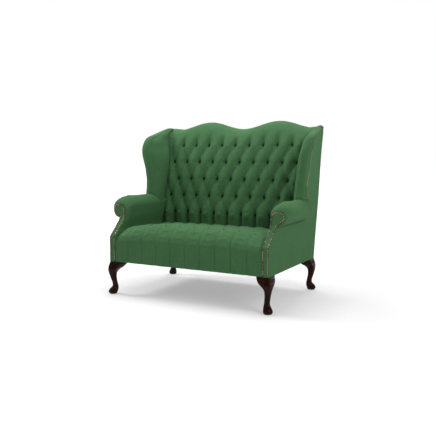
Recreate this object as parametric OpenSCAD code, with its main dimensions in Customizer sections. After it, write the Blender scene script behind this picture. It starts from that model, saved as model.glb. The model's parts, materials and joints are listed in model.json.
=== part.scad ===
// High back settee: a buttoned seat and back between rolled arms and wings, on four cabriole legs.
// All sizes are in millimetres. Inside the modules y runs back from the seat's front face,
// and placed() moves the whole settee so that its box is centred on the origin.

/* [Overall] */
// Width of the base over its cover
base_w = 1070; // [1000:10:1240]
// Depth of the base, from the seat's front face to the foot of the back
base_d = 719; // [700:1:750]
// Height of the two humps of the crest
overall_h = 1086; // [1060:2:1140]
// Height of the legs
leg_h = 206; // [190:1:220]

/* [Seat] */
// Height of the seat at its buttons
seat_h = 431; // [415:1:440]
// Depth of the seat pad, from its front face to the back pad
seat_d = 516; // [500:1:530]
// Depth of the rounded front edge, up to the first buttons
nose_d = 116; // [90:1:130]
// Height of the rounded front edge
nose_h = 81; // [60:1:90]
// How far the seat falls towards its two ends
seat_drop = 46; // [36:1:60]
// How far the seat falls from its front edge to the back pad
seat_rake = 34; // [16:1:40]
// Thickness of the padded front border
border_t = 20; // [14:1:24]
// Rise of the seat's folds over its buttons
seat_fold = 6; // [3:0.5:9]
// Rise of the seat's puffs over its folds
seat_puff = 5; // [2:0.5:8]
// Distance between the seat's button rows
seat_row_pitch = 100; // [90:1:110]

/* [Back] */
// How far the outside back leans over its height
back_rake = 104; // [80:1:120]
// Thickness of the back over its lowest buttons
back_t = 196; // [185:1:205]
// Drop of the crest between its humps
hump_h = 50; // [20:1:60]
// Distance between the humps
hump_pitch = 514; // [480:1:540]
// Height of the crest's two corners
corner_h = 1048; // [1040:1:1056]
// Padding over the crest rail
crest_pad = 30; // [24:1:36]
// Distance between buttons across the settee
button_pitch = 100; // [92:1:104]
// Distance between the back's button rows
row_pitch = 111; // [104:1:114]
// Height of the lowest back buttons over the seat buttons
first_row = 50; // [40:1:60]
// Rise of the back's folds over its buttons
back_fold = 14; // [8:1:18]
// Rise of the back's puffs over its folds
back_puff = 14; // [6:1:18]
// Diameter of a covered button
button_d = 18; // [12:1:20]

/* [Arms] */
// Height of the arm rolls
arm_h = 603; // [590:1:615]
// Radius of the arm rolls
roll_r = 62; // [56:1:66]
// Distance from the base's side to the roll's centre
roll_out = 5; // [0:1:10]
// Length of an arm roll, from its facing to its rounded back end
roll_l = 455; // [430:1:470]
// Length of the roll's rounded ends
bun_l = 50; // [30:1:60]
// Drop from the arm's top to the waist under its roll
waist_drop = 130; // [126:1:134]
// Height of the arm front's straight foot, as a share of the waist's height over the legs
elbow_share = 0.577; // [0.54:0.01:0.6]
// How far the facing sits behind the seat's front
set_back = 109; // [90:1:120]
// Width of the facing strip
facing_w = 40; // [36:1:44]
// Radius of the facing's round head
facing_r = 42; // [36:1:44]
// Thickness of a facing
facing_t = 4; // [3:0.5:6]

/* [Wings] */
// Thickness of the wing's padded front
wing_t = 60; // [54:1:64]
// How far the wing's padding stands before its edge
wing_nose = 20; // [14:1:26]
// Thickness of the wing's board
wing_board_t = 12; // [9:1:14]

/* [Legs] */
// Side of the leg's square block
leg_block = 77; // [70:1:84]
// How far the front leg's corner sits behind the seat's front face
leg_step = 6; // [3:1:9]
// Diameter of a glide
glide_d = 24; // [18:1:28]
// Thickness of a glide
glide_t = 3; // [2:0.5:5]
// Diameter of the leg bolts
bolt_d = 8; // [6:1:10]
// Distance of a leg bolt from the two edges of the base
bolt_inset = 56; // [54:1:58]
// Depth of a bolt in its leg
bolt_in_leg = 26; // [20:1:28]

/* [Frame] */
// Height of the base rails
rail_h = 90; // [80:1:94]
// Thickness of the front and rear rails
rail_t = 28; // [22:1:32]
// Width of a back post
post_w = 40; // [32:1:42]
// Depth of a back post
post_d = 62; // [50:1:64]
// Depth of an arm post
arm_post_d = 62; // [50:1:70]
// Thickness of the crest rail, lower rail and stile
board_t = 28; // [20:1:32]
// Thickness of the arm lining boards
lining_t = 4; // [3:0.5:5]
// Leg length of a corner block
block_l = 90; // [80:1:110]
// Height of a corner block
block_h = 55; // [40:1:70]
// Thickness of the outside panels with their cover
panel_t = 5; // [4:0.5:6]
// Thickness of the dust cover
dust_t = 1.2; // [1:0.2:2]

/* [Springs] */
// Distance between the seat springs
spring_pitch = 130; // [110:1:150]
// Wire diameter of a spring
wire_d = 3.6; // [3:0.2:4.2]
// Half width of a spring's zigzag
spring_half = 22; // [16:1:26]
// Thickness of a spring clip
clip_t = 3; // [2:0.5:4]
// Width of the back webbing
web_w = 60; // [50:1:70]
// Thickness of webbing and platform cloth
web_t = 1.6; // [1.2:0.2:2.4]

/* [Nails] */
// Diameter of a dome nail's head
nail_d = 9.6; // [8:0.2:10.4]
// Height of a dome nail's head
nail_h = 2.4; // [1.6:0.2:3]
// Distance between nails
nail_pitch = 13; // [11:0.5:16]
// Distance from an edge to its line of nails
nail_inset = 5.5; // [5:0.5:7]

/* [Hidden] */
// Clearance between soft pieces and what they meet
gap = 0.3;
// Clearance round a bolt
bolt_gap = 0.3;
// How far a cut runs past its solid
overrun = 1;
half_w = base_w / 2;
back_h = overall_h - leg_h;
lean = atan(back_rake / back_h);
tan_lean = back_rake / back_h;
waist_h = arm_h - waist_drop;
elbow_h = leg_h + elbow_share * (waist_h - leg_h);
roll_x = half_w + roll_out;
roll_z = arm_h - roll_r;
roll_rear = set_back + roll_l;
// Front and sides of the wooden frame
wood_out = half_w - panel_t - 2 * gap - leg_step / 10;
facing_in = half_w - facing_w;
seat_half = facing_in - 3 * gap;
wood_in = facing_in + leg_step + 4 * gap + board_t / 10;
rail_bottom = leg_h + dust_t;
rail_top = rail_bottom + rail_h;
spring_z = rail_top + clip_t + gap + wire_d / 2;
platform_z = spring_z + wire_d / 2 + gap;
pad_z0 = platform_z + web_t + gap;
post_in = wood_out - post_w;
// Distances from the outside back's plane, along the ground, in the frame that leans with the back
post_back = panel_t + 2 * gap;
post_front = post_back + post_d;
web_front = post_front + gap + web_t;
pad_back = web_front + 2 * gap;
crest_depth = crest_pad / 2;
// Height shares of the seat and back against which the tables below run
crest_margin_share = 0.138;
back_rows = floor((overall_h - seat_h - first_row - crest_margin_share * overall_h) / row_pitch) + 1;
button_margin_share = 0.04;
wide_n = floor((2 * seat_half - 2 * button_margin_share * base_w) / button_pitch) + 1;
wide_half = (wide_n - 1) / 2 * button_pitch;
row_z0 = seat_h + first_row;
row_z1 = row_z0 + (back_rows - 1) * row_pitch;
seat_rows = floor((seat_d - nose_d - button_pitch) / seat_row_pitch) + 1;
steps = 6;
row_steps = 3;
seat_steps = floor((seat_d - nose_d) / (seat_row_pitch / row_steps));
ring_sides = 20;

// Thickness of the back pad over its buttons, [height over the seat, thickness of back_t]
back_share = [[0, 1], [0.077, 1], [0.245, 0.922], [0.415, 0.881], [0.586, 0.795], [0.756, 0.648], [1, 0.4]];
// Rounded front edge, [share of nose_d, share of nose_h]
nose_share = [[0.01, 0], [0.095, 0.33], [0.32, 0.62], [1, 1]];
// Fall of the seat towards its ends, [share of its half width, share of seat_drop]
drop_share = [[0, 0], [0.4, 0.03], [0.6, 0.09], [0.81, 0.34], [0.91, 0.6], [1, 1]];
// Lean of the arm front, [share of waist_h - elbow_h, share of set_back]
front_share = [[0, 0], [0.1, 0.06], [0.48, 0.495], [0.875, 0.89], [1.02, 0.965], [1.25, 1]];
// Head of the facing, [height, left, right], as shares of facing_r from its centre
head_share = [
    [-0.8, -1.05, 0.05], [-0.6, -1.04, 0.33], [-0.4, -1.03, 0.6], [-0.2, -1.02, 0.82], [0, -1, 0.96],
    [0.2, -0.98, 1], [0.4, -0.92, 0.95], [0.6, -0.8, 0.82], [0.8, -0.6, 0.62], [0.95, -0.31, 0.31],
    [1, -0.1, 0.1]
];
// Edge of the wing's outside, [x of half_w, y of base_d, z from arm_h to overall_h, share of wing_t,
// share of wing_nose]
wing_edge_share = [
    [1.062, 0.625, 0.002, 1, 1], [1.067, 0.64, 0.089, 1, 1], [1.073, 0.649, 0.195, 1, 1],
    [1.084, 0.651, 0.273, 1, 1], [1.093, 0.65, 0.352, 1, 1], [1.11, 0.642, 0.458, 1, 1],
    [1.123, 0.636, 0.542, 1, 1], [1.135, 0.65, 0.629, 1, 1], [1.136, 0.687, 0.718, 1, 0.95],
    [1.135, 0.736, 0.764, 0.95, 0.85], [1.123, 0.843, 0.832, 0.85, 0.15],
    [1.073, 0.999, 0.903, 0.45, 0.35], [1.045, 1.113, 0.9, 0.2, 0.35]
];
// Crease between wing and back, in the same shares and row for row
crease_share = [
    [0.921, 0.815, 0.002], [0.914, 0.825, 0.089], [0.91, 0.839, 0.195], [0.908, 0.853, 0.273],
    [0.907, 0.866, 0.352], [0.91, 0.887, 0.458], [0.927, 0.908, 0.542], [0.959, 0.929, 0.629],
    [0.985, 0.957, 0.687], [1, 0.975, 0.749], [1.015, 1.003, 0.822], [1.024, 1.043, 0.895],
    [1.03, 1.113, 0.896]
];
// Where the crest's wave ends, of hump_pitch
hump_end_share = 0.914;
// Half width at the rear edge, [height of back_h, share of half_w]
rear_share = [[0, 1.004], [0.17, 1.011], [0.45, 1.022], [0.73, 1.026], [0.94, 1.039], [1, 1.041]];
// Leg, [height of leg_h, outer, inner and half width of leg_block, squareness]
leg_share = [
    [1, 0.03, -1.384, 0.707, 1.9], [0.93, 0.1, -1.36, 0.7, 1.9], [0.87, 0.165, -1.2, 0.68, 1.88],
    [0.81, 0.2, -1.04, 0.62, 1.8], [0.75, 0.22, -0.76, 0.5, 1.6], [0.69, 0.195, -0.58, 0.38, 1.4],
    [0.62, 0.156, -0.48, 0.29, 1.2], [0.54, 0.08, -0.465, 0.25, 1.1], [0.456, 0.013, -0.47, 0.225, 1.05],
    [0.38, -0.07, -0.5, 0.215, 1], [0.3, -0.12, -0.545, 0.21, 1], [0.243, -0.117, -0.58, 0.225, 1],
    [0.2, -0.05, -0.6, 0.25, 1], [0.16, 0.065, -0.6, 0.29, 1], [0.11, 0.17, -0.57, 0.33, 1],
    [0.063, 0.22, -0.53, 0.35, 1], [0.03, 0.19, -0.5, 0.34, 1], [0, 0.12, -0.45, 0.3, 1]
];
// Middle of the foot, of leg_block from the base's corner
foot_share = 0.165;

y_min = leg_step + min([for (row = leg_share) min([for (p = leg_ring(row)) p[1]])]);
y_max = rear_y(overall_h - crest_pad);

$fn = 32;

// Straight and smooth interpolation. A smooth table passes through its points with level-headed slopes.
function lerp(a, b, t) = a + (b - a) * t;
function clamp(v, low, high) = min(high, max(low, v));
function turn(t, k, c) =
    k == 0 ? (t[1][c] - t[0][c]) / (t[1][0] - t[0][0]) :
    k == len(t) - 1 ? (t[k][c] - t[k - 1][c]) / (t[k][0] - t[k - 1][0]) :
    (t[k + 1][c] - t[k - 1][c]) / (t[k + 1][0] - t[k - 1][0]);
function place(v, t, k = 0) = k >= len(t) - 2 || v < t[k + 1][0] ? k : place(v, t, k + 1);
function smooth(v, t, c = 1) =
    let (x = clamp(v, t[0][0], t[len(t) - 1][0]), k = place(x, t), h = t[k + 1][0] - t[k][0])
    let (s = (x - t[k][0]) / h, a = turn(t, k, c) * h, b = turn(t, k + 1, c) * h)
    t[k][c] * (1 - 3 * s * s + 2 * s * s * s) + t[k + 1][c] * (3 * s * s - 2 * s * s * s)
    + a * (s - 2 * s * s + s * s * s) + b * (s * s * s - s * s);
function reversed(list) = [for (i = [len(list) - 1:-1:0]) list[i]];
// Point at a distance along a line of points
function along(path, d, k = 0) =
    let (step = norm(path[k + 1] - path[k]))
    d <= step || k >= len(path) - 2 ? lerp(path[k], path[k + 1], min(1, d / step)) :
    along(path, d - step, k + 1);
function path_length(path, k = 0) =
    k >= len(path) - 1 ? 0 : norm(path[k + 1] - path[k]) + path_length(path, k + 1);

// Outside back's plane, crest line, arm front and side
function rear_y(z) = base_d + (z - leg_h) * tan_lean;
function rear_x(z) = half_w * smooth((z - leg_h) / back_h, rear_share);
function crest_z(x) =
    let (last = hump_end_share * hump_pitch, a = min(abs(x), last))
    let (rest = clamp((abs(x) - last) / (hump_pitch / 6), 0, 1))
    let (z = overall_h - hump_h / 2 * (1 + cos(360 * a / hump_pitch)))
    lerp(z, corner_h, rest);
function front_y(z) = set_back * lookup((z - elbow_h) / (waist_h - elbow_h), front_share);
function head_z() = waist_h + facing_r;
function head_edge(z, c) =
    head_x() + facing_r * lookup((z - head_z()) / facing_r, [for (h = head_share) [h[0], h[c]]]);
function facing_left(z) = z < waist_h ? facing_in : head_edge(z, 1);
function facing_right(z) = z < waist_h ? half_w : head_edge(z, 2);
function head_x() = half_w + roll_out - 0.5 * gap;

// Wing edge and crease, as lists of points row by row
function wing_point(s) = [s[0] * half_w, s[1] * base_d, lerp(arm_h, overall_h, s[2])];
wing_edge = [for (s = wing_edge_share) wing_point(s)];
wing_crease = [for (s = crease_share) wing_point(s)];
wing_thick = [for (s = wing_edge_share) s[3] * wing_t];
wing_bow = [for (s = wing_edge_share) s[4] * wing_nose];
wing_n = len(wing_edge);
// The last row is the pad's tail over the corner, behind the end of the board
board_n = wing_n - 1;
function wing_forward(k) =
    let (a = wing_edge[max(0, k - 1)], b = wing_edge[min(wing_n - 1, k + 1)])
    let (d = norm([b[1] - a[1], b[2] - a[2]]))
    [0, -(b[2] - a[2]) / d, (b[1] - a[1]) / d];
// Outside surface of the wing at depth y and height z, flaring from the rear edge to the wing's edge
function edge_at(z) =
    let (k = place(z, [for (i = [0:board_n - 1]) [wing_edge[i][2]]]))
    let (a = wing_edge[k], b = wing_edge[k + 1])
    lerp(a, b, clamp((z - a[2]) / (b[2] - a[2]), 0, 1));
function wing_x(y, z) =
    let (e = edge_at(z), r = rear_y(z), x = rear_x(z))
    lerp(x, e[0], pow(clamp((r - y) / (r - e[1]), 0, 1), 1.5));
function roll_top(x) = roll_z + sqrt(max(0, pow(roll_r + 2 * gap, 2) - pow(x - roll_x, 2)));

// Rise of buttoned upholstery over its buttons, in button pitches across and rows along
function tuft(u, v, fold, puff) =
    let (p = pow(cos(180 * (u - v / 2)), 2), q = pow(cos(180 * (u + v / 2)), 2))
    fold * sqrt(max(0, 1 - p * q)) + puff * pow(max(0, (1 - p) * (1 - q)), 0.3);
function col_n() = (wide_n - 1) * steps + 2;
function col_x(i, half) =
    i == 0 ? -half : i == col_n() ? half : -wide_half + (i - 1) * button_pitch / steps;

// Half width of the back pad: between the arms below, between the wings above
function arm_inner(z) = facing_in - gap - (facing_in - roll_x + roll_r) * lookup(z, arm_in_share);
function roll_inner(z) = roll_x - sqrt(max(0, pow(roll_r, 2) - pow(z - roll_z, 2)));
function back_half(z) =
    z < roll_z ? arm_inner(z) - 4 * gap :
    z < arm_h ? min(roll_inner(z), wing_crease[0][0]) - 2 * gap :
    lookup(z, [for (c = wing_crease) [c[2], c[0]]]) - 5 * gap;

// Closed skin over a list of rings with the same number of points, with its end faces as index triples
module skin(rings, caps) {
    n = len(rings[0]);
    m = len(rings);
    points = [for (ring = rings) for (p = ring) p];
    sides = [
        for (j = [0:m - 2]) for (i = [0:n - 1]) for (tri = [0, 1])
            let (a = j * n + i, b = j * n + (i + 1) % n, c = a + n, d = b + n)
            tri == 0 ? [a, b, d] : [a, d, c]
    ];
    start = [for (t = caps) [t[2], t[1], t[0]]];
    end = [for (t = caps) [t[0] + (m - 1) * n, t[1] + (m - 1) * n, t[2] + (m - 1) * n]];
    polyhedron(points = points, faces = concat(sides, start, end), convexity = 6);
}
// End faces: a fan from one point, or rungs between the two chains of a band
function fan(n, from) = [for (i = [1:n - 2]) [from, (from + i) % n, (from + i + 1) % n]];
function rungs(n) = [
    for (i = [0:n / 2 - 2]) for (tri = [0, 1])
        tri == 0 ? [i, i + 1, n - 2 - i] : [i, n - 2 - i, n - 1 - i]
];

module placed() translate([0, -(y_min + y_max) / 2, 0]) children();
module right_side() placed() children();
module left_side() mirror([1, 0, 0]) placed() children();
module both_sides() { children(); mirror([1, 0, 0]) children(); }
// Frame that leans with the outside back: y = 0 is its outside face and z runs up along it
module leaned() translate([0, base_d, leg_h]) rotate([-lean, 0, 0]) children();
module green() color([0.28, 0.46, 0.29]) children();
module beech() color([0.78, 0.6, 0.4]) children();
module mahogany() color([0.12, 0.03, 0.02]) children();
module steel() color([0.6, 0.6, 0.62]) children();

// Legs

function leg_ring(row) =
    let (outer = row[1] * leg_block, inner = row[2] * leg_block, half = row[3] * leg_block)
    let (mid = (outer + inner) / 2, reach = (outer - inner) / 2)
    [for (i = [0:ring_sides - 1])
        let (a = 360 * i / ring_sides, c = cos(a), s = sin(a))
        let (u = mid + reach * sign(c) * pow(abs(c), row[4]))
        let (v = half * sign(s) * pow(abs(s), row[4]))
        [u * cos(45) - v * sin(45), -u * cos(45) - v * sin(45), lerp(glide_t, leg_h, row[0])]
    ];
module leg() {
    difference() {
        skin([for (row = reversed(leg_share)) leg_ring(row)], fan(ring_sides, 0));
        translate([-bolt_inset, bolt_inset, leg_h - bolt_in_leg - bolt_gap])
            cylinder(d = bolt_d + 2 * bolt_gap, h = bolt_in_leg + bolt_gap + overrun);
    }
}
module front_corner() translate([half_w, leg_step, 0]) children();
module rear_corner() translate([half_w, base_d, 0]) mirror([0, 1, 0]) children();
module leg_front_left() mahogany() left_side() front_corner() leg();
module leg_front_right() mahogany() right_side() front_corner() leg();
module leg_rear_left() mahogany() left_side() rear_corner() leg();
module leg_rear_right() mahogany() right_side() rear_corner() leg();
module four_corners() placed() both_sides() { front_corner() children(); rear_corner() children(); }
module leg_bolts() steel() four_corners()
    translate([-bolt_inset, bolt_inset, leg_h - bolt_in_leg])
        cylinder(d = bolt_d, h = bolt_in_leg + dust_t + block_h + glide_t);
module glides() color("gray") four_corners()
    translate([-foot_share * leg_block * cos(45), foot_share * leg_block * cos(45), 0])
        cylinder(d = glide_d, h = glide_t);

// Base frame

module rail_box(x0, x1, y0, y1, z0, z1) translate([x0, y0, z0]) cube([x1 - x0, y1 - y0, z1 - z0]);
front_rail_y = border_t + gap;
rear_rail_y = rear_y(rail_bottom) - post_back;
module dust_cover() color([0.1, 0.1, 0.1]) placed() difference() {
    rail_box(-wood_out, wood_out, front_rail_y, rear_rail_y, leg_h, leg_h + dust_t);
    both_sides() {
        front_corner() bolt_hole();
        rear_corner() bolt_hole();
    }
}
module bolt_hole() translate([-bolt_inset, bolt_inset, leg_h - overrun])
    cylinder(d = bolt_d + 2 * bolt_gap, h = block_h + 2 * rail_h);
module front_rail() beech() placed()
    rail_box(-wood_in, wood_in, front_rail_y, front_rail_y + rail_t, rail_bottom, rail_top);
module rear_rail() beech() placed()
    rail_box(-post_in, post_in, rear_rail_y - rail_t, rear_rail_y, rail_bottom, rail_top);
module side_rail() beech()
    rail_box(
        wood_in, wood_out, facing_t + gap + arm_post_d, rear_y(leg_h) - post_front - leg_step,
        rail_bottom, rail_top
    );
module side_rail_left() left_side() side_rail();
module side_rail_right() right_side() side_rail();
module centre_rail() beech() placed()
    rail_box(
        -rail_t / 2, rail_t / 2, front_rail_y + rail_t, rear_rail_y - rail_t,
        rail_bottom, rail_top - rail_t
    );
module corner_block(x, y, way) translate([x, y, rail_bottom])
    linear_extrude(block_h) polygon([[0, 0], [-block_l, 0], [0, way * block_l]]);
module corner_blocks() beech() placed() both_sides() difference() {
    union() {
        corner_block(wood_in, front_rail_y + rail_t, 1);
        corner_block(post_in, rear_rail_y - rail_t, -1);
    }
    front_corner() bolt_hole();
    rear_corner() bolt_hole();
}

// Arm frame

module arm_post() beech() {
    y0 = facing_t + 2 * gap;
    top = head_z() - 0.66 * facing_r;
    zs = [rail_bottom, for (s = front_share) lerp(elbow_h, waist_h, s[0])];
    front = [for (z = zs) if (z < top) [front_y(z) + y0, z]];
    translate([wood_in, 0, 0]) rotate([90, 0, 90]) linear_extrude(wood_out - wood_in)
        polygon(concat(front, [
            [set_back + y0, top], [set_back + y0 + rail_t, top], [set_back + y0 + rail_t, waist_h],
            [arm_post_d + facing_t + gap, rail_top], [arm_post_d + facing_t + gap, rail_bottom]
        ]));
    rail_box(
        head_x() - 0.7 * facing_r, wood_out, set_back + y0, set_back + y0 + rail_t,
        waist_h, head_z() - 0.4 * facing_r
    );
    translate([head_x(), set_back + y0 + rail_t, head_z()]) rotate([90, 0, 0])
        cylinder(r = 2 / 3 * facing_r, h = rail_t);
}
module arm_post_left() left_side() arm_post();
module arm_post_right() right_side() arm_post();
core_z = roll_z - 0.27 * roll_r;
core_r = 0.61 * roll_r;
rail_front = set_back + facing_t + 3 * gap + rail_t;
module arm_rail() beech()
    translate([roll_x, roll_rear - bun_l, core_z]) rotate([90, 0, 0])
        cylinder(r = core_r - 0.13 * roll_r, h = roll_rear - bun_l - rail_front);
module arm_rail_left() left_side() arm_rail();
module arm_rail_right() right_side() arm_rail();
module arm_lining() color([0.5, 0.38, 0.25])
    rail_box(
        wood_in, wood_in + lining_t, rail_front, roll_rear - bun_l,
        rail_top, core_z - core_r + bun_l / 10
    );
module arm_lining_left() left_side() arm_lining();
module arm_lining_right() right_side() arm_lining();

// Back frame

function leaned_z(z) = (z - leg_h) / cos(lean);
post_top = leaned_z(corner_h - crest_pad - board_t / 2);
crest_low = leaned_z(lerp(row_z1, overall_h, 0.05));
module back_post() beech() leaned()
    rail_box(post_in, wood_out, -post_front, -post_back, leg_step / 3, post_top);
module back_post_left() left_side() back_post();
module back_post_right() right_side() back_post();
crest_steps = 24;
module crest_rail() beech() placed() leaned()
    translate([0, -post_back, 0]) rotate([90, 0, 0]) linear_extrude(board_t) polygon(concat(
        [[-post_in, crest_low], [post_in, crest_low]],
        [for (i = [crest_steps:-1:-crest_steps])
            let (x = post_in * i / crest_steps)
            [x, leaned_z(crest_z(x) - crest_pad - gap - post_front * sin(lean))]]
    ));
lower_z = leaned_z(rail_top + block_h);
module back_lower_rail() beech() placed() leaned()
    rail_box(-post_in, post_in, -post_back - board_t, -post_back, lower_z - block_h / 2, lower_z);
module back_stile() beech() placed() leaned()
    rail_box(-post_w / 2, post_w / 2, -post_back - board_t, -post_back, lower_z, crest_low);
// Board in the wing, between the outside panel and the padding
function board_x(p) = wing_x(p[1], p[2]) - panel_t - 3 * gap;
function board_ring(k) =
    let (front = wing_edge[k] - wing_forward(k) * (nail_inset + 3 * gap), z1 = wing_crease[k][2])
    let (y1 = rear_y(z1) - post_front / cos(lean) - 3 * gap)
    let (low = arm_h + 3 * gap)
    let (line = [for (s = [0, 0.33, 0.67, 1]) [0, lerp(front[1], y1, s), max(low, lerp(front[2], z1, s))]])
    concat(
        [for (p = line) p + [board_x(p), 0, 0]],
        reversed([for (p = line) p + [board_x(p) - wing_board_t, 0, 0]])
    );
// The board ends just short of its last row, clear of the pad's tail
board_end_share = 0.94;
module wing_board() color([0.8, 0.68, 0.5]) skin(
    reversed(concat(
        [for (k = [0:board_n - 2]) board_ring(k)],
        [lerp(board_ring(board_n - 2), board_ring(board_n - 1), board_end_share)]
    )),
    rungs(8)
);
module wing_board_left() left_side() wing_board();
module wing_board_right() right_side() wing_board();

// Suspension

spring_n = floor((wood_in - spring_half) / spring_pitch);
spring_y0 = front_rail_y + rail_t / 3;
spring_y1 = rear_rail_y - rail_t / 3;
spring_loops = 12;
spring_steps = 4;
function spring_points() = [
    for (k = [0:spring_loops * spring_steps])
        let (t = k / (spring_loops * spring_steps), wave = sin(360 * spring_loops * t))
        [spring_half * wave, lerp(spring_y0, spring_y1, t), spring_z]
];
function spring_ring(path, k) =
    let (a = path[max(0, k - 1)], b = path[min(len(path) - 1, k + 1)])
    let (d = (b - a) / norm(b - a), r = wire_d / 2)
    [for (c = [[r, 0], [0, r], [-r, 0], [0, -r]]) path[k] + [d[1] * c[0], -d[0] * c[0], c[1]]];
module seat_springs() steel() placed() for (i = [-spring_n:spring_n])
    translate([i * spring_pitch, 0, 0]) {
        path = spring_points();
        skin([for (k = [0:len(path) - 1]) spring_ring(path, k)], fan(4, 0));
    }
module spring_clips() steel() placed()
    for (i = [-spring_n:spring_n]) for (y = [spring_y0, spring_y1])
        translate([i * spring_pitch, y, rail_top + clip_t / 2])
            cube([web_w / 4, rail_t / 2, clip_t], center = true);
module seat_platform() color([0.7, 0.62, 0.45]) placed()
    rail_box(
        -post_in + gap, post_in - gap, front_rail_y + gap, rear_rail_y - rail_t,
        platform_z, platform_z + web_t
    );
module back_webbing() color([0.55, 0.5, 0.4]) placed() leaned()
    for (i = [0:back_rows - 1])
        translate([0, -post_front - gap - web_t / 2, leaned_z(row_z0 + i * row_pitch)])
            cube([2 * wood_out, web_t, web_w], center = true);

// Seat pad

// Shares that the folds keep on the front border, the fall of the nose's foot, and its loss to the rear
border_fold_share = 0.35;
nose_fall_share = 0.5;
rear_fall_share = 0.3;
seat_back = (seat_fold + seat_puff) * border_fold_share;
function seat_across(x) = smooth(abs(x) / seat_half, drop_share) * seat_drop;
function seat_fall(on_top) = lerp(1, rear_fall_share, on_top / seat_steps);
// Outer points of the seat from the bottom of its front border, over the nose and back to the back pad
function seat_point(x, j) =
    let (u = (x - wide_half) / button_pitch, n = len(nose_share), nose_z = seat_h - nose_h)
    let (k = clamp(j - 2, 0, n - 1), on_top = max(0, j - 1 - n))
    let (top_y = min(seat_d, nose_d + on_top * seat_row_pitch / row_steps))
    let (y = j < 2 ? 0 : j < 2 + n ? nose_share[k][0] * nose_d : top_y)
    let (rise = lerp(border_fold_share, 1, j < 2 ? 0 : nose_share[k][1]))
    let (d = rise * tuft(u, 1 + on_top / row_steps, seat_fold, seat_puff))
    let (face = j < 2 ? 1 : 1 - sqrt(nose_share[k][1]))
    let (fall = j < 2 ? 0 : lerp(nose_fall_share, 1, nose_share[k][1]) * seat_fall(on_top))
    let (flat_z = j == 0 ? leg_h : j == 1 ? lerp(leg_h, nose_z, 0.6) : nose_z + nose_share[k][1] * nose_h)
    let (z = flat_z + (1 - face) * d - fall * seat_across(x) - seat_rake * on_top / seat_steps)
    [x, j == 1 + n + seat_steps ? seat_d : y + seat_back - face * d, z];
module seat_pad() green() placed() {
    last = 1 + len(nose_share) + seat_steps;
    rings = [
        for (i = [0:col_n()])
            let (x = col_x(i, seat_half))
            concat(
                [for (j = [0:last]) seat_point(x, j)],
                [[x, seat_d, pad_z0], [x, border_t, pad_z0], [x, border_t, leg_h]]
            )
    ];
    skin(rings, fan(last + 4, last + 2));
}

// Back pad

top_steps = 3;
function back_last() = 1 + row_steps * (back_rows - 1) + 1 + top_steps + 1;
function button_y(z) = rear_y(z) - back_t * smooth((z - seat_h) / (overall_h - seat_h), back_share);
// How far the front bulges over the last row, of the height from there to the crest
bulge_share = 0.38;
function edge_half(z) = back_half(min(z, corner_h - crest_pad / 4));
function back_point(i, j) =
    let (rows = row_steps * (back_rows - 1), z_row = row_z0 + (j - 2) * row_pitch / row_steps)
    let (t = clamp((j - 2 - rows) / top_steps, 0, 1))
    let (z_side = j < 1 ? pad_z0 : j <= 2 + rows ? z_row : lerp(row_z1, corner_h, t))
    let (x = col_x(i, edge_half(z_side)), top = crest_z(x))
    let (v = (min(z_row, row_z1) - row_z0) / row_pitch - 1, u = (x - wide_half) / button_pitch)
    let (edge = i == 0 || i == col_n() ? 0.5 : 1, d = edge * tuft(u, v, back_fold, back_puff))
    j == 0 ? [x, seat_d + 2 * gap, pad_z0] :
    j <= 2 + rows ? [x, button_y(z_row) - d, z_row] :
    j < back_last() ?
        let (y0 = button_y(row_z1), y1 = y0 + bulge_share * (top - row_z1), y2 = rear_y(top) - crest_depth)
        let (y = pow(1 - t, 2) * y0 + 2 * t * (1 - t) * y1 + t * t * y2)
        [x, y - (1 - t) * d, lerp(row_z1, top, 2 * t - t * t)] :
        [x, rear_y(top - crest_pad), top - crest_pad];
function plane_y(z) = rear_y(z) - pad_back / cos(lean);
// Point of the pad's flat rear face that belongs to a point on the border of its front
function behind(i, j) =
    let (p = back_point(i, j), last = back_last(), top = crest_z(p[0]) - crest_pad)
    let (low = top - crest_pad, side = i == 0 || i == col_n(), from = last - top_steps - 1)
    let (upper = lerp(min(low, row_z1), top, (j - from) / (last - from)))
    let (on_side = p[2] < low && j <= from ? p[2] : upper)
    let (z = j == 0 ? pad_z0 : j == last ? top : side ? on_side : p[2])
    [side ? sign(p[0]) * edge_half(z) : p[0], plane_y(z), z];
module back_pad() green() placed() {
    nc = col_n();
    nr = back_last();
    front = [for (i = [0:nc]) for (j = [0:nr]) back_point(i, j)];
    loop = concat(
        [for (i = [0:nc - 1]) [i, 0]], [for (j = [0:nr - 1]) [nc, j]],
        [for (i = [nc:-1:1]) [i, nr]], [for (j = [nr:-1:1]) [0, j]]
    );
    count = len(loop);
    rear = [for (b = loop) behind(b[0], b[1])];
    first = len(front);
    middle = first + count;
    mid_z = lerp(seat_h, overall_h, 0.5);
    faces = concat(
        [for (i = [0:nc - 1]) for (j = [0:nr - 1]) for (tri = [0, 1])
            let (a = i * (nr + 1) + j, b = a + nr + 1)
            (i + j) % 2 == 0 ?
                (tri == 0 ? [a, a + 1, b + 1] : [a, b + 1, b]) :
                (tri == 0 ? [a, a + 1, b] : [a + 1, b + 1, b])],
        [for (k = [0:count - 1]) for (tri = [0, 1])
            let (n = (k + 1) % count)
            let (a = loop[k][0] * (nr + 1) + loop[k][1], b = loop[n][0] * (nr + 1) + loop[n][1])
            tri == 0 ? [a, b, first + n] : [a, first + n, first + k]],
        [for (k = [0:count - 1]) [first + k, first + (k + 1) % count, middle]]
    );
    polyhedron(points = concat(front, rear, [[0, plane_y(mid_z), mid_z]]), faces = faces, convexity = 8);
}

// Arm pad: the inside of the arm, the roll over its rail and the round ends of the roll

arm_angles = [for (i = [0:10]) 190 - 25 * i];
function circle_points(x, z, r, angles) = [for (a = angles) [x + r * cos(a), z + r * sin(a)]];
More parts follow.
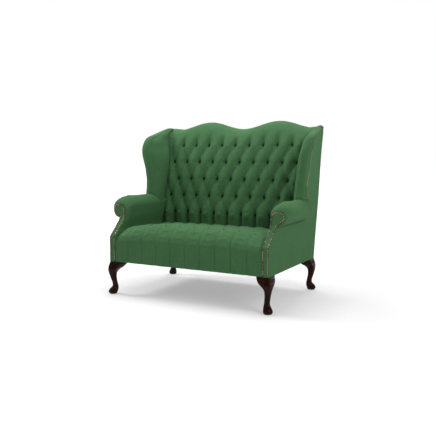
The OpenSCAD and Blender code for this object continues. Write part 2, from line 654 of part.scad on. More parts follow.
// Heights of the arm's lower points, on the bends of the arm front
arm_rows = concat([pad_z0], [for (r = front_share) if (r[0] < 1.1) lerp(elbow_h, waist_h, r[0])]);
arm_in_share = [[lerp(elbow_h, waist_h, 0.48), 0], [waist_h, 0.7], [roll_z, 1]];
function arm_low(narrow) = [
    for (z = arm_rows) [facing_in - gap - narrow * (facing_in - roll_x + roll_r) * lookup(z, arm_in_share), z]
];
low_n = len(arm_rows);
arm_outer = concat(
    arm_low(1), circle_points(roll_x, roll_z, roll_r, arm_angles),
    [[half_w - leg_step * gap, waist_h - 0.13 * roll_r]]
);
arm_front = concat(
    arm_low(0), circle_points(head_x(), head_z(), 1.07 * facing_r, arm_angles),
    [[half_w + gap, waist_h - 0.1 * roll_r]]
);
arm_rear = [
    for (i = [0:len(arm_outer) - 1])
        i < low_n || i > low_n + 10 ? arm_outer[i] : lerp([roll_x, roll_z], arm_outer[i], 0.65)
];
function arm_hollow(z, r) = concat(
    [for (h = arm_rows) [wood_in - 2 * gap, h]],
    circle_points(roll_x, z, r, arm_angles),
    [[wood_out + 2 * gap, waist_h - roll_r / 15]]
);
arm_ring_shares = [0, 0.08, 0.3, 0.65, 1];
arm_end_shares = [0, 0.35, 0.7, 0.9, 1];
function arm_ring(outer, inner, s, rear) =
    let (y = [for (p = arm_front) front_y(p[1]) + facing_t + 3 * gap + s])
    concat(
        [for (i = [0:len(outer) - 1]) [outer[i][0], s < 0 ? rear : y[i], outer[i][1]]],
        reversed([for (i = [0:len(inner) - 1]) [inner[i][0], s < 0 ? rear : y[i], inner[i][1]]])
    );
module arm_pad() green() {
    block_hollow = arm_hollow(head_z(), 0.76 * facing_r);
    rail_hollow = arm_hollow(core_z, core_r);
    end_hollow = arm_hollow(roll_z, 0.26 * roll_r);
    rings = concat(
        [for (t = arm_ring_shares)
            let (b = sqrt(1 - pow(1 - t, 2)))
            arm_ring(lerp(arm_front, arm_outer, b), lerp(block_hollow, rail_hollow, b), t * bun_l, 0)],
        [for (t = arm_end_shares)
            let (b = 1 - sqrt(1 - t * t), y = roll_rear - (1 - t) * bun_l)
            arm_ring(lerp(arm_outer, arm_rear, b), lerp(rail_hollow, end_hollow, b), -1, y)]
    );
    skin(reversed(rings), rungs(len(rings[0])));
}
module arm_pad_left() left_side() arm_pad();
module arm_pad_right() right_side() arm_pad();

// Wing pad: the wing's inside face and its round front, wrapped over the board's edge

function wing_ring(k) =
    let (e = wing_edge[k], f = wing_forward(k), c = wing_crease[k], t = wing_thick[k])
    let (nose = wing_bow[k], inner = e - [t, 0, 0], edge = [0, e[1], e[2]])
    let (flat = [for (s = [0.33, 0.67, 1]) lerp(inner, c, s)])
    let (outer = concat(
        [for (a = [0:36:180]) [e[0] - t / 2 + t / 2 * cos(a), 0, 0] + edge + f * (2 * gap + nose * sin(a))],
        flat
    ))
    let (behind = k < board_n ? wing_board_t + 3 * gap : 0, skin_t = panel_t + 3 * gap)
    let (back = [for (s = [1, 1.4, 1.8, 2.3]) edge - f * nail_inset * s], first = back[0])
    let (inside = concat(
        [edge + [e[0] - skin_t, 0, 0] + f * 2 * gap, first + [wing_x(first[1], first[2]) - skin_t, 0, 0]],
        [for (p = back) p + [board_x(p) - behind, 0, 0]],
        [for (p = flat) [board_x(p) - behind, p[1], p[2]]]
    ))
    concat(outer, reversed(inside));
function seated(ring) = [for (p = ring) [p[0], p[1], roll_top(p[0]) + 7 * gap]];
module wing_pad() green() skin(
    concat([seated(wing_ring(0))], [for (k = [1:wing_n - 1]) wing_ring(k)]),
    rungs(18)
);
module wing_pad_left() left_side() wing_pad();
module wing_pad_right() right_side() wing_pad();

// Outside panels

module outside_back() green() placed() leaned() {
    ear = corner_h - crest_pad / 15;
    reach = back_half(corner_h) + gap;
    side = [for (s = rear_share)
        let (z = leg_h + s[0] * back_h)
        [rear_x(z), leaned_z(min(z, ear))]];
    top = [for (i = [crest_steps:-1:-crest_steps])
        let (x = reach * i / crest_steps)
        [x, leaned_z(crest_z(x) - crest_pad - 5 * gap)]];
    rotate([90, 0, 0]) linear_extrude(panel_t) polygon(concat(
        side, [[reach, leaned_z(ear)]], top, [[-reach, leaned_z(ear)]],
        reversed([for (p = side) [-p[0], p[1]]])
    ));
}
function side_x(z, y) =
    let (up = clamp((z - waist_h) / (arm_h - waist_h), 0, 1), r = rear_y(z))
    let (y0 = lerp(front_y(min(z, waist_h)), wing_edge[0][1], up))
    let (x0 = lerp(half_w - gap, wing_edge[0][0], up))
    lerp(rear_x(z), x0, pow(clamp((r - y) / (r - y0), 0, 1), 1.5));
panel_steps = 6;
function side_ring(z, y0, k) =
    let (z1 = k < 0 ? z : min(z, corner_h - crest_pad / 15), y1 = rear_y(z1) - panel_t / cos(lean) - gap)
    let (line = [for (i = [0:panel_steps]) lerp([y0, z], [y1, z1], i / panel_steps)])
    let (outer = [for (p = line) [k < 0 ? side_x(p[1], p[0]) : wing_x(p[0], p[1]), p[0], p[1]]])
    concat(outer, reversed([for (p = outer) p - [panel_t, 0, 0]]));
module outside_side() green() {
    crease_z = waist_h - 0.15 * roll_r;
    bends = [for (s = front_share) lerp(elbow_h, waist_h, s[0])];
    low = [leg_h, for (z = bends) if (z < crease_z) z, crease_z];
    beside = [crease_z + leg_step / 2, lerp(crease_z, arm_h, 0.5), arm_h - gap];
    skin(
        reversed(concat(
            [for (z = low) side_ring(z, front_y(z) + facing_t + gap, -1)],
            [for (z = beside) side_ring(z, roll_rear + 2 * gap, -1)],
            [for (k = [0:board_n - 1]) side_ring(wing_edge[k][2], wing_edge[k][1], k)]
        )),
        rungs(2 * panel_steps + 2)
    );
}
module outside_side_left() left_side() outside_side();
module outside_side_right() right_side() outside_side();

// Facings: the strip up the arm's front and its round head

facing_rows = concat(
    [leg_h, lerp(leg_h, elbow_h, 0.5)],
    [for (s = front_share) if (s[0] < 1) lerp(elbow_h, waist_h, s[0])],
    [waist_h - gap],
    [for (h = head_share) head_z() + facing_r * h[0]]
);
function facing_ring(z) =
    let (xs = [for (s = [0, 0.5, 1]) lerp(facing_left(z), facing_right(z), s)])
    concat([for (x = xs) [x, front_y(z), z]], [for (x = reversed(xs)) [x, front_y(z) + facing_t, z]]);
module arm_facing() green() skin(reversed([for (z = facing_rows) facing_ring(z)]), rungs(6));
module arm_facing_left() left_side() arm_facing();
module arm_facing_right() right_side() arm_facing();

// Covered buttons, each standing clear of the folds round its hollow

function row_x(wide) =
    let (last = wide_n - (wide ? 1 : 2))
    [for (i = [0:last]) (i - last / 2) * button_pitch];
function button_lift(fold, puff) =
    button_d / 2 * tuft(1 / steps, 0, fold, puff) / (button_pitch / steps) + gap;
module button() color([0.2, 0.34, 0.2]) {
    cylinder(d = button_d, h = button_d / 9);
    translate([0, 0, button_d / 9]) cylinder(d1 = button_d, d2 = 0.55 * button_d, h = button_d / 6);
}
module back_buttons() placed()
    for (r = [0:back_rows - 1]) for (x = row_x(r % 2 == 1)) {
        z = row_z0 + r * row_pitch;
        tilt = atan((button_y(z + row_pitch / 3) - button_y(z - row_pitch / 3)) / (2 * row_pitch / 3));
        translate([x, button_y(z), z]) rotate([90 - tilt, 0, 0])
            translate([0, 0, button_lift(back_fold, back_puff)]) button();
    }
module seat_buttons() placed()
    for (r = [0:seat_rows - 1]) for (x = row_x(r % 2 == 1)) {
        j = 1 + len(nose_share) + r * row_steps;
        d = button_pitch / steps;
        tilt = atan(seat_fall(r * row_steps) * (seat_across(abs(x) + d) - seat_across(abs(x) - d)) / (2 * d));
        rake = min(1, r) * atan(seat_rake / (seat_d - nose_d));
        lift = button_lift(seat_fold, seat_puff) - (abs(x) == wide_half ? gap : 0);
        translate(seat_point(x, j)) rotate([-rake, sign(x) * tilt, 0])
            translate([0, 0, lift]) button();
    }

// Dome nails

module nail() color([0.55, 0.43, 0.36]) cylinder(d1 = nail_d, d2 = 0.55 * nail_d, h = nail_h);
nail_top = head_z() + facing_r - nail_inset;
nail_rows = [for (z = facing_rows) if (z > leg_h && z <= nail_top) z];
facing_path = concat(
    [for (z = nail_rows) [facing_left(z) + nail_inset, 0, z]],
    reversed([for (z = nail_rows) [facing_right(z) - nail_inset, 0, z]])
);
nail_foot = leg_h + nail_inset;
facing_line = concat(
    [[facing_in + nail_inset, 0, nail_foot]], facing_path, [[half_w - nail_inset, 0, nail_foot]]
);
module facing_nails() {
    total = path_length(facing_line);
    count = floor(total / nail_pitch);
    for (i = [0:count]) {
        p = along(facing_line, total * i / count);
        tilt = atan((front_y(p[2] + nail_d / 2) - front_y(p[2] - nail_d / 2)) / nail_d);
        translate([p[0], front_y(p[2]), p[2]]) rotate([90 - tilt, 0, 0]) translate([0, 0, 2 * gap]) nail();
    }
}
module facing_nails_left() left_side() facing_nails();
module facing_nails_right() right_side() facing_nails();
wing_line = [
    for (k = [0:board_n - 1])
        let (p = wing_edge[k] - wing_forward(k) * nail_inset)
        [wing_x(p[1], p[2]), p[1], k == 0 ? arm_h + nail_inset : p[2]]
];
function wing_flare(p) = atan((wing_x(p[1], p[2]) - wing_x(p[1] + nail_d, p[2])) / nail_d);
module wing_nails() {
    total = path_length(wing_line);
    count = floor(total / nail_pitch);
    for (i = [0:count]) {
        p = along(wing_line, total * i / count);
        translate([wing_x(p[1], p[2]), p[1], p[2]]) rotate([0, 90, wing_flare(p)])
            translate([0, 0, 3 * gap]) nail();
    }
}
module wing_nails_left() left_side() wing_nails();
module wing_nails_right() right_side() wing_nails();

leg_front_left();
leg_front_right();
leg_rear_left();
leg_rear_right();
leg_bolts();
glides();
dust_cover();
front_rail();
rear_rail();
side_rail_left();
side_rail_right();
centre_rail();
corner_blocks();
arm_post_left();
arm_post_right();
arm_rail_left();
arm_rail_right();
arm_lining_left();
arm_lining_right();
back_post_left();
back_post_right();
crest_rail();
back_lower_rail();
back_stile();
wing_board_left();
wing_board_right();
seat_springs();
spring_clips();
seat_platform();
back_webbing();
seat_pad();
back_pad();
arm_pad_left();
arm_pad_right();
wing_pad_left();
wing_pad_right();
outside_back();
outside_side_left();
outside_side_right();
arm_facing_left();
arm_facing_right();
seat_buttons();
back_buttons();
facing_nails_left();
facing_nails_right();
wing_nails_left();
wing_nails_right();
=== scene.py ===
"""High back settee: buttoned seat and back, rolled arms, wings, nail trim and cabriole legs.

Every length is in metres. Shape functions work in the maker's frame, whose y runs back from the
seat's front face; placed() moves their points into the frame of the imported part.
"""

import json
import math

import bpy
import numpy as np
from bpy.props import FloatProperty, FloatVectorProperty, PointerProperty
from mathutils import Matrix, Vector


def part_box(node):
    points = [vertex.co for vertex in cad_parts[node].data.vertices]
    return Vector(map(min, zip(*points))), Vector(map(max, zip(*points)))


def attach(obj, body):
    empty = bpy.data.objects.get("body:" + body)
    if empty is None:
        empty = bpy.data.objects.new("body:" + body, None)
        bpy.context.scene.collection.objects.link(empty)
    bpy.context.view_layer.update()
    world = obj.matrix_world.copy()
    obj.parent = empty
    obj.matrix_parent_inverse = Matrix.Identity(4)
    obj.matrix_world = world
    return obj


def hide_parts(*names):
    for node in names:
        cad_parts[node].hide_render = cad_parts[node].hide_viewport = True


bl_info = {
    "name": "High back settee",
    "version": (1, 0, 0),
    "blender": (4, 5, 0),
    "location": "View3D > Sidebar > Settee",
    "description": "Dresses the packed high back settee in cloth, polished wood and nails",
    "category": "Add Mesh",
}

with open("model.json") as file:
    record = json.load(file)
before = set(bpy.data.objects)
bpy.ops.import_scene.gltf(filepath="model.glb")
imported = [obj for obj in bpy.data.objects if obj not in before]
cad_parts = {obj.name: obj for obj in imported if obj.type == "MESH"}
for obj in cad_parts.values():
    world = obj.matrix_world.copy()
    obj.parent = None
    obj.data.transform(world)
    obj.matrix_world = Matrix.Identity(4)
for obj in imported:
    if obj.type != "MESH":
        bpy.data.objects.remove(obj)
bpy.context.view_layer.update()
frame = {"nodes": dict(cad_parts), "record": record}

# Shares of the sizes below, as in the part's source
BACK_SHARE = [[0, 1], [0.077, 1], [0.245, 0.922], [0.415, 0.881], [0.586, 0.795], [0.756, 0.648], [1, 0.4]]
DROP_SHARE = [[0, 0], [0.4, 0.03], [0.6, 0.09], [0.81, 0.34], [0.91, 0.6], [1, 1]]
FRONT_SHARE = [[0, 0], [0.1, 0.06], [0.48, 0.495], [0.875, 0.89], [1.02, 0.965], [1.25, 1]]
HEAD_SHARE = [
    [-0.8, -1.05, 0.05], [-0.6, -1.04, 0.33], [-0.4, -1.03, 0.6], [-0.2, -1.02, 0.82], [0, -1, 0.96],
    [0.2, -0.98, 1], [0.4, -0.92, 0.95], [0.6, -0.8, 0.82], [0.8, -0.6, 0.62], [0.95, -0.31, 0.31],
    [1, -0.1, 0.1],
]
WING_EDGE_SHARE = [
    [1.062, 0.625, 0.002, 1, 1], [1.067, 0.64, 0.089, 1, 1], [1.073, 0.649, 0.195, 1, 1],
    [1.084, 0.651, 0.273, 1, 1], [1.093, 0.65, 0.352, 1, 1], [1.11, 0.642, 0.458, 1, 1],
    [1.123, 0.636, 0.542, 1, 1], [1.135, 0.65, 0.629, 1, 1], [1.136, 0.687, 0.718, 1, 0.95],
    [1.135, 0.736, 0.764, 0.95, 0.85], [1.123, 0.843, 0.832, 0.85, 0.15],
    [1.073, 0.999, 0.903, 0.45, 0.35], [1.045, 1.113, 0.9, 0.2, 0.35],
]
CREASE_SHARE = [
    [0.921, 0.815, 0.002], [0.914, 0.825, 0.089], [0.91, 0.839, 0.195], [0.908, 0.853, 0.273],
    [0.907, 0.866, 0.352], [0.91, 0.887, 0.458], [0.927, 0.908, 0.542], [0.959, 0.929, 0.629],
    [0.985, 0.957, 0.687], [1, 0.975, 0.749], [1.015, 1.003, 0.822], [1.024, 1.043, 0.895],
    [1.03, 1.113, 0.896],
]
REAR_SHARE = [[0, 1.004], [0.17, 1.011], [0.45, 1.022], [0.73, 1.026], [0.94, 1.039], [1, 1.041]]
LEG_SHARE = [
    [1, 0.03, -1.384, 0.707, 1.9], [0.93, 0.1, -1.36, 0.7, 1.9], [0.87, 0.165, -1.2, 0.68, 1.88],
    [0.81, 0.2, -1.04, 0.62, 1.8], [0.75, 0.22, -0.76, 0.5, 1.6], [0.69, 0.195, -0.58, 0.38, 1.4],
    [0.62, 0.156, -0.48, 0.29, 1.2], [0.54, 0.08, -0.465, 0.25, 1.1], [0.456, 0.013, -0.47, 0.225, 1.05],
    [0.38, -0.07, -0.5, 0.215, 1], [0.3, -0.12, -0.545, 0.21, 1], [0.243, -0.117, -0.58, 0.225, 1],
    [0.2, -0.05, -0.6, 0.25, 1], [0.16, 0.065, -0.6, 0.29, 1], [0.11, 0.17, -0.57, 0.33, 1],
    [0.063, 0.22, -0.53, 0.35, 1], [0.03, 0.19, -0.5, 0.34, 1], [0, 0.12, -0.45, 0.3, 1],
]

SIDES = ("left", "right")
WHITE = (1, 1, 1)
EVEN_STEP = 0.008  # spacing of the grids on which the cloth settles
LOW_POINT = 8  # point low on a pad's ring, whose x tells which columns of two grids match
DECK_T = 0.0103  # from the rails' top to the pads' underside
CREST_MARGIN = 0.138  # share of the settee's height without buttons under the crest
BUTTON_MARGIN = 0.04  # share of the base's width without buttons at either end
ROLL_POINTS, LOW_POINTS = 44, 13  # points of an arm's outline round the roll and below it
# How far buttons and nails stand off the line of their rows
BACK_BUTTON_OUT, FRONT_BUTTON_OUT, SEAT_BUTTON_OUT, NAIL_OUT = 0.0045, 0.006, 0.0008, 0.0009
CLOTH = {
    "vertex_group_mass": "held", "quality": 6, "mass": 0.3, "tension_stiffness": 15,
    "compression_stiffness": 15, "shear_stiffness": 5, "bending_stiffness": 0.3, "air_damping": 3,
    "use_pressure": True, "uniform_pressure_force": 4, "shrink_min": -0.015,
}
CLOTH_FRAMES = 20
WORLD_LIGHT = 0.45
LAMPS = (  # name, place, side of the square and power
    ("key", (-3.4, -0.5, 3.0), 1.1, 110.0),
    ("side", (4.0, -1.8, 2.9), 2.4, 104.0),
    ("top", (-0.2, 0.9, 3.6), 2.2, 116.0),
)


def length(name, description, default):
    """A property that holds a length in metres."""
    return FloatProperty(
        name=name, description=description, default=default, unit="LENGTH", subtype="DISTANCE"
    )


def share(name, description, default):
    """A property that holds a plain share from 0 to 1."""
    return FloatProperty(
        name=name, description=description, default=default, min=0, max=1, subtype="FACTOR"
    )


def colour(name, description, default):
    """A property that holds a linear colour."""
    return FloatVectorProperty(
        name=name, description=description, default=default, min=0, max=1, size=3, subtype="COLOR"
    )


class SetteeSizes(bpy.types.PropertyGroup):
    """Sizes of the settee, the same as in the part's source."""

    base_w: length("Base width", "Width of the base over its cover", 1.07)
    base_d: length("Base depth", "From the seat's front face to the foot of the back", 0.719)
    overall_h: length("Height", "Height of the two humps of the crest", 1.086)
    leg_h: length("Leg height", "Height of the legs", 0.206)
    seat_h: length("Seat height", "Height of the seat at its buttons", 0.431)
    seat_d: length("Seat depth", "From the seat's front face to the back pad", 0.516)
    nose_d: length("Front edge depth", "Depth of the rounded front edge", 0.116)
    nose_h: length("Front edge height", "Height of the rounded front edge", 0.081)
    seat_drop: length("Seat drop", "How far the seat falls towards its two ends", 0.046)
    seat_rake: length("Seat rake", "How far the seat falls from its front edge to the back pad", 0.034)
    border_t: length("Border thickness", "Thickness of the padded front border", 0.02)
    seat_fold: length("Seat folds", "Rise of the seat's folds over its buttons", 0.008)
    seat_puff: length("Seat puffs", "Rise of the seat's puffs over its folds", 0.005)
    pleat_depth: length("Pleat depth", "Depth of the pleats down the seat's front", 0.004)
    seat_row_pitch: length("Seat row pitch", "Distance between the seat's button rows", 0.1)
    back_rake: length("Back rake", "How far the outside back leans over its height", 0.104)
    back_t: length("Back thickness", "Thickness of the back over its lowest buttons", 0.196)
    hump_h: length("Hump height", "Drop of the crest between its humps", 0.05)
    hump_pitch: length("Hump pitch", "Distance between the humps", 0.514)
    corner_h: length("Corner height", "Height of the crest's two corners", 1.048)
    crest_pad: length("Crest padding", "Padding over the crest rail", 0.03)
    button_pitch: length("Button pitch", "Distance between buttons across the settee", 0.1)
    row_pitch: length("Row pitch", "Distance between the back's button rows", 0.111)
    first_row: length("First row", "Height of the lowest back buttons over the seat buttons", 0.05)
    back_fold: length("Back folds", "Rise of the back's folds over its buttons", 0.024)
    back_puff: length("Back puffs", "Rise of the back's puffs over its folds", 0.014)
    button_d: length("Button diameter", "Diameter of a covered button", 0.018)
    arm_h: length("Arm height", "Height of the arm rolls", 0.603)
    roll_r: length("Roll radius", "Radius of the arm rolls", 0.062)
    roll_out: length("Roll offset", "From the base's side to the roll's centre", 0.005)
    roll_l: length("Roll length", "Length of an arm roll", 0.455)
    front_bulge: length("Front bulge", "How far the roll swells behind its facing", 0.0075)
    end_l: length("Roll end", "How far before the panel's seam the roll's outside ends", 0.03)
    rear_bulge: length("Rear bulge", "How far an arm roll swells out at its rear end", 0.004)
    bun_l: length("Round end length", "Length of the roll's rounded ends", 0.05)
    elbow_h: length("Elbow height", "Where the arm front starts to lean back", 0.36006)
    waist_h: length("Waist height", "Height of the arm's waist, under the roll", 0.473)
    set_back: length("Facing set back", "How far the facing's head sits behind the seat's front", 0.109)
    facing_w: length("Facing width", "Width of the facing strip", 0.04)
    facing_r: length("Facing head radius", "Radius of the facing's round head", 0.042)
    facing_t: length("Facing thickness", "Thickness of a facing", 0.004)
    wing_t: length("Wing thickness", "Thickness of the wing's padded front", 0.06)
    wing_nose: length("Wing front", "How far the wing's padding stands before its edge", 0.02)
    board_t: length("Wing board", "Thickness of the wing's board", 0.012)
    panel_t: length("Panel thickness", "Thickness of the outside panels with their cover", 0.005)
    leg_block: length("Leg block", "Side of the leg's square block", 0.077)
    leg_step: length("Leg step", "How far the front leg's corner sits behind the seat's front face", 0.006)
    glide_t: length("Glide thickness", "Thickness of a glide", 0.003)
    rail_h: length("Rail height", "Height of the base rails", 0.09)
    post_d: length("Post depth", "Depth of a back post", 0.062)
    nail_d: length("Nail diameter", "Diameter of a dome nail's head", 0.0092)
    nail_h: length("Nail height", "Height of a dome nail's head", 0.0026)
    nail_pitch: length("Nail pitch", "Distance between nails", 0.013)
    nail_inset: length("Nail inset", "From an edge to its line of nails", 0.0055)
    gap: length("Gap", "Clearance between soft pieces", 0.0003)

    half_w = property(lambda s: s.base_w / 2, doc="Half width of the base")
    facing_in = property(lambda s: s.half_w - s.facing_w, doc="x of a facing's inner edge")
    head_z = property(lambda s: s.waist_h + s.facing_r, doc="Height of a facing's head")
    roll_x = property(lambda s: s.half_w + s.roll_out, doc="x of a roll's centre")
    roll_z = property(lambda s: s.arm_h - s.roll_r, doc="Height of a roll's centre")
    pad_low = property(lambda s: s.leg_h + s.rail_h + DECK_T, doc="Height of the pads' underside")
    seat_half = property(lambda s: s.facing_in - 3 * s.gap, doc="Half width of the seat pad")

    @property
    def seat_inward(self):
        """How far the seat's profile and buttons lie behind the sizes' line, as room for the folds."""
        return (self.seat_fold + self.seat_puff) * 0.35

    @property
    def wide_half(self):
        """x of the outermost buttons on a wide row, which has as many whole pitches as the seat's width
        takes between its margins."""
        pitches = math.floor(2 * (self.seat_half - BUTTON_MARGIN * self.base_w) / self.button_pitch)
        return pitches / 2 * self.button_pitch


class SetteeFinish(bpy.types.PropertyGroup):
    """Colours and surface settings."""

    cloth: colour("Cloth", "Base colour of the cover cloth", (0.037, 0.102, 0.039))
    cloth_light: colour("Cloth nap", "Colour of the cloth's raised fibres", (0.06, 0.152, 0.063))
    polish: colour("Polished wood", "Base colour of the legs", (0.01, 0.0022, 0.0014))
    polish_grain: colour("Wood grain", "Colour of the grain in the legs", (0.034, 0.0075, 0.0045))
    nail: colour("Nail", "Colour of the dome nails", (0.72, 0.41, 0.41))
    nail_dark: colour("Nail tarnish", "Colour of the nails' tarnish", (0.11, 0.06, 0.05))
    beech: colour("Frame wood", "Colour of the hidden frame", (0.45, 0.28, 0.15))
    board: colour("Board", "Colour of the wing and arm boards", (0.36, 0.25, 0.14))
    steel: colour("Steel", "Colour of springs, clips and bolts", (0.42, 0.42, 0.44))
    webbing: colour("Webbing", "Colour of webbing and platform cloth", (0.42, 0.34, 0.22))
    lining: colour("Lining", "Colour of the cloth under the base", (0.012, 0.012, 0.013))
    floor: colour("Floor", "Colour of the floor", (0.5, 0.5, 0.5))
    sheen: share("Sheen", "Strength of the cloth's soft edge light", 0.06)
    camera_distance: length("Camera distance", "From the camera to the point it looks at", 3.8192)


# ---- curves and derived sizes


def smooth(v, table, column=1):
    """Smooth curve through a table: cubic Hermite pieces whose slope at each point is that of the chord
    between its two neighbours. Values outside the table take its end values."""
    t = np.asarray(table, float)
    x, y = t[:, 0], t[:, column]
    slope = np.gradient(y, x)
    slope[1:-1] = (y[2:] - y[:-2]) / (x[2:] - x[:-2])
    v = np.clip(v, x[0], x[-1])
    k = np.clip(np.searchsorted(x, v, side="right") - 1, 0, len(x) - 2)
    h = x[k + 1] - x[k]
    s = (v - x[k]) / h
    return (
        y[k] * (1 - 3 * s**2 + 2 * s**3)
        + y[k + 1] * (3 * s**2 - 2 * s**3)
        + h * slope[k] * (s - 2 * s**2 + s**3)
        + h * slope[k + 1] * (s**3 - s**2)
    )


def smooth_step(v):
    """Smooth step from 0 to 1: three times the square less twice the cube."""
    v = np.clip(v, 0, 1)
    return v**2 * (3 - 2 * v)


def slope_of(curve, at, step):
    """Slope of a curve at a place, from its values a step to either side."""
    return (curve(at + step) - curve(at - step)) / (2 * step)


def straight(v, table, column=1):
    """Straight interpolation in a table."""
    t = np.asarray(table, float)
    return np.interp(v, t[:, 0], t[:, column])


def rows_between(table, count):
    """The table's rows refined to count rows by the smooth curve over their index."""
    t = np.asarray(table, float)
    index = np.arange(len(t), dtype=float)
    at = np.linspace(0, len(t) - 1, count)
    return np.stack([smooth(at, np.column_stack([index, t[:, c]])) for c in range(t.shape[1])], 1)


def lean_of(z, s):
    """Depth of the outside back at height z: a plane that leans back by back_rake over its height."""
    return s.base_d + (z - s.leg_h) * s.back_rake / (s.overall_h - s.leg_h)


def rear_half(z, s):
    """Half width of the outside back at height z."""
    return s.half_w * smooth((z - s.leg_h) / (s.overall_h - s.leg_h), REAR_SHARE)


def crest(x, s):
    """Height of the crest at x: a cosine with two humps, level from just outside them to the corners."""
    last = 0.914 * s.hump_pitch
    wave = s.overall_h - s.hump_h / 2 * (1 + np.cos(2 * np.pi * np.minimum(abs(x), last) / s.hump_pitch))
    rest = np.clip((abs(x) - last) / (s.hump_pitch / 6), 0, 1)
    return wave + (s.corner_h - wave) * rest


def facing_depth(z, s):
    """Depth of the arm front at height z."""
    return s.set_back * straight((z - s.elbow_h) / (s.waist_h - s.elbow_h), FRONT_SHARE)


def leg_rings(rows, sides, s):
    """Rings of a leg at its corner, from rows of height, outer reach, inner reach, half width and
    squareness: superellipses whose long axis is the diagonal of the corner."""
    outer, inner, half, square = (rows[:, c, None] for c in (1, 2, 3, 4))
    a = np.linspace(0, 2 * np.pi, sides, endpoint=False)[None]
    c, n = np.cos(a).round(12), np.sin(a).round(12)
    u = ((outer + inner) / 2 + (outer - inner) / 2 * np.sign(c) * abs(c) ** square) * s.leg_block
    v = half * np.sign(n) * abs(n) ** square * s.leg_block
    k = math.cos(math.pi / 4)
    z = s.glide_t + (s.leg_h - s.glide_t) * rows[:, :1] + 0 * u
    return np.stack([(u - v) * k, -(u + v) * k, z], -1)


def middle_y(s):
    """Depth of the middle of the whole settee, which becomes y = 0."""
    first = s.leg_step + leg_rings(np.array(LEG_SHARE), 20, s)[..., 1].min()
    return (first + lean_of(s.overall_h - s.crest_pad, s)) / 2


def wing_rows(s, count):
    """Edge, crease, padding thickness and bow of the wing on count rows from the arm to the corner."""
    scale, low = np.array([s.half_w, s.base_d, s.overall_h - s.arm_h]), np.array([0, 0, s.arm_h])
    edge, crease = rows_between(WING_EDGE_SHARE, count), rows_between(CREASE_SHARE, count)
    return edge[:, :3] * scale + low, crease * scale + low, edge[:, 3] * s.wing_t, edge[:, 4] * s.wing_nose


def rising(line):
    """The rows of a line of points up to its highest one."""
    return line[: int(np.argmax(line[:, 2])) + 1]


def flared(y, z, x_front, y_front, s):
    """x of a panel that flares from the settee's rear edge to x_front at depth y_front, with the power
    1.5 of the distance from the rear."""
    rear, x = lean_of(z, s), rear_half(z, s)
    return x + (x_front - x) * np.clip((rear - y) / (rear - y_front), 0, 1) ** 1.5


def wing_surface(y, z, s):
    """x of the wing's outside at depth y and height z, flared to the wing's edge."""
    edge = rising(wing_rows(s, 97)[0])
    return flared(y, z, np.interp(z, edge[:, 2], edge[:, 0]), np.interp(z, edge[:, 2], edge[:, 1]), s)


def side_surface(y, z, s):
    """x of the outside panel under the wing's rows, flared to the facing and then to the wing's edge."""
    edge = wing_rows(s, 13)[0]
    up = np.clip((z - s.waist_h) / (s.arm_h - s.waist_h), 0, 1)
    low_y = facing_depth(np.minimum(z, s.waist_h), s)
    x_front = s.half_w - s.gap + (edge[0, 0] - s.half_w + s.gap) * up
    return flared(y, z, x_front, low_y + (edge[0, 1] - low_y) * up, s)


def tuft(u, v, fold, puff, pit=0.34):
    """Rise of buttoned cloth over its buttons. u runs across in button pitches and v along in rows. The
    folds lie on the two families of diagonals through the buttons; fold is their rise half way between
    two buttons, and puff is the extra rise in the middle of a diamond. The share pit of the fold's rise
    comes at once, in a round hollow about each button."""
    p = np.cos(np.pi * (u - v / 2)) ** 2
    q = np.cos(np.pi * (u + v / 2)) ** 2
    du = u - v.round() / 2
    hollow = 1 - np.exp(-(((du - du.round()) / 0.16) ** 2 + ((v - v.round()) / 0.15) ** 2))
    rise = fold * ((1 - pit) * np.sqrt(np.maximum(0, 1 - p * q)) + pit * hollow)
    return rise + puff * (np.maximum(0, (1 - p) * (1 - q))) ** 0.4


def soft_floor(d, low):
    """Keeps d from going below low, with a rounded corner."""
    return (d + low + np.sqrt((d - low) ** 2 + (0.3 * low) ** 2)) / 2


# ---- meshes


def xyz(x, y, z):
    """Points from their coordinates, each a number or an array of a shape that fits the others'."""
    return np.stack(np.broadcast_arrays(x, y, z), -1)


def unit(vectors):
    """The vectors at length 1."""
    return vectors / np.linalg.norm(vectors, axis=-1, keepdims=True)


def run_length(line):
    """Length along a line of points up to each of them."""
    return np.concatenate([[0], np.cumsum(np.linalg.norm(np.diff(line, axis=0), axis=1))])


def placed(points, s):
    """Moves points from the maker's frame to the part's frame."""
    return np.asarray(points, float) - np.array([0, middle_y(s), 0])


def mirrored(points, side):
    """Points of the right side, or their mirror image for the left."""
    return points * np.array([1.0 if side == "right" else -1.0, 1, 1])


def quads(n, m, close_n=False, close_m=False):
    """Corner indices of the quads of an n by m grid, closed round either way if asked."""
    i = np.arange(n if close_n else n - 1)[:, None]
    j = np.arange(m if close_m else m - 1)[None, :]
    a, b = i * m + j, i * m + (j + 1) % m
    c, d = (i + 1) % n * m + (j + 1) % m, (i + 1) % n * m + j
    return np.stack(np.broadcast_arrays(a, b, c, d), -1).reshape(-1, 4)


def make_mesh(name, points, faces, sharp=40.0, flip=False):
    """An object from an array of points and a list of face arrays, smooth but for edges over sharp
    degrees."""
    mesh = bpy.data.meshes.new(name)
    rows = []
    for block in faces:
        block = np.asarray(block)
        rows += (block[:, ::-1] if flip else block).tolist()
    mesh.from_pydata(np.asarray(points, float).reshape(-1, 3).tolist(), [], rows)
    mesh.validate()
    mesh.shade_smooth()
    mesh.set_sharp_from_angle(angle=math.radians(sharp))
    obj = bpy.data.objects.new(name, mesh)
    bpy.context.scene.collection.objects.link(obj)
    return obj


def loft(name, rings, sharp=40.0, flip=False):
    """A closed form over rings[n, m, 3], each a closed loop of m points, with a flat face on both ends."""
    n, m, _ = rings.shape
    ends = [np.arange(m)[None, ::-1], (n - 1) * m + np.arange(m)[None, :]]
    return make_mesh(name, rings, [quads(n, m, close_m=True), *ends], sharp, flip)


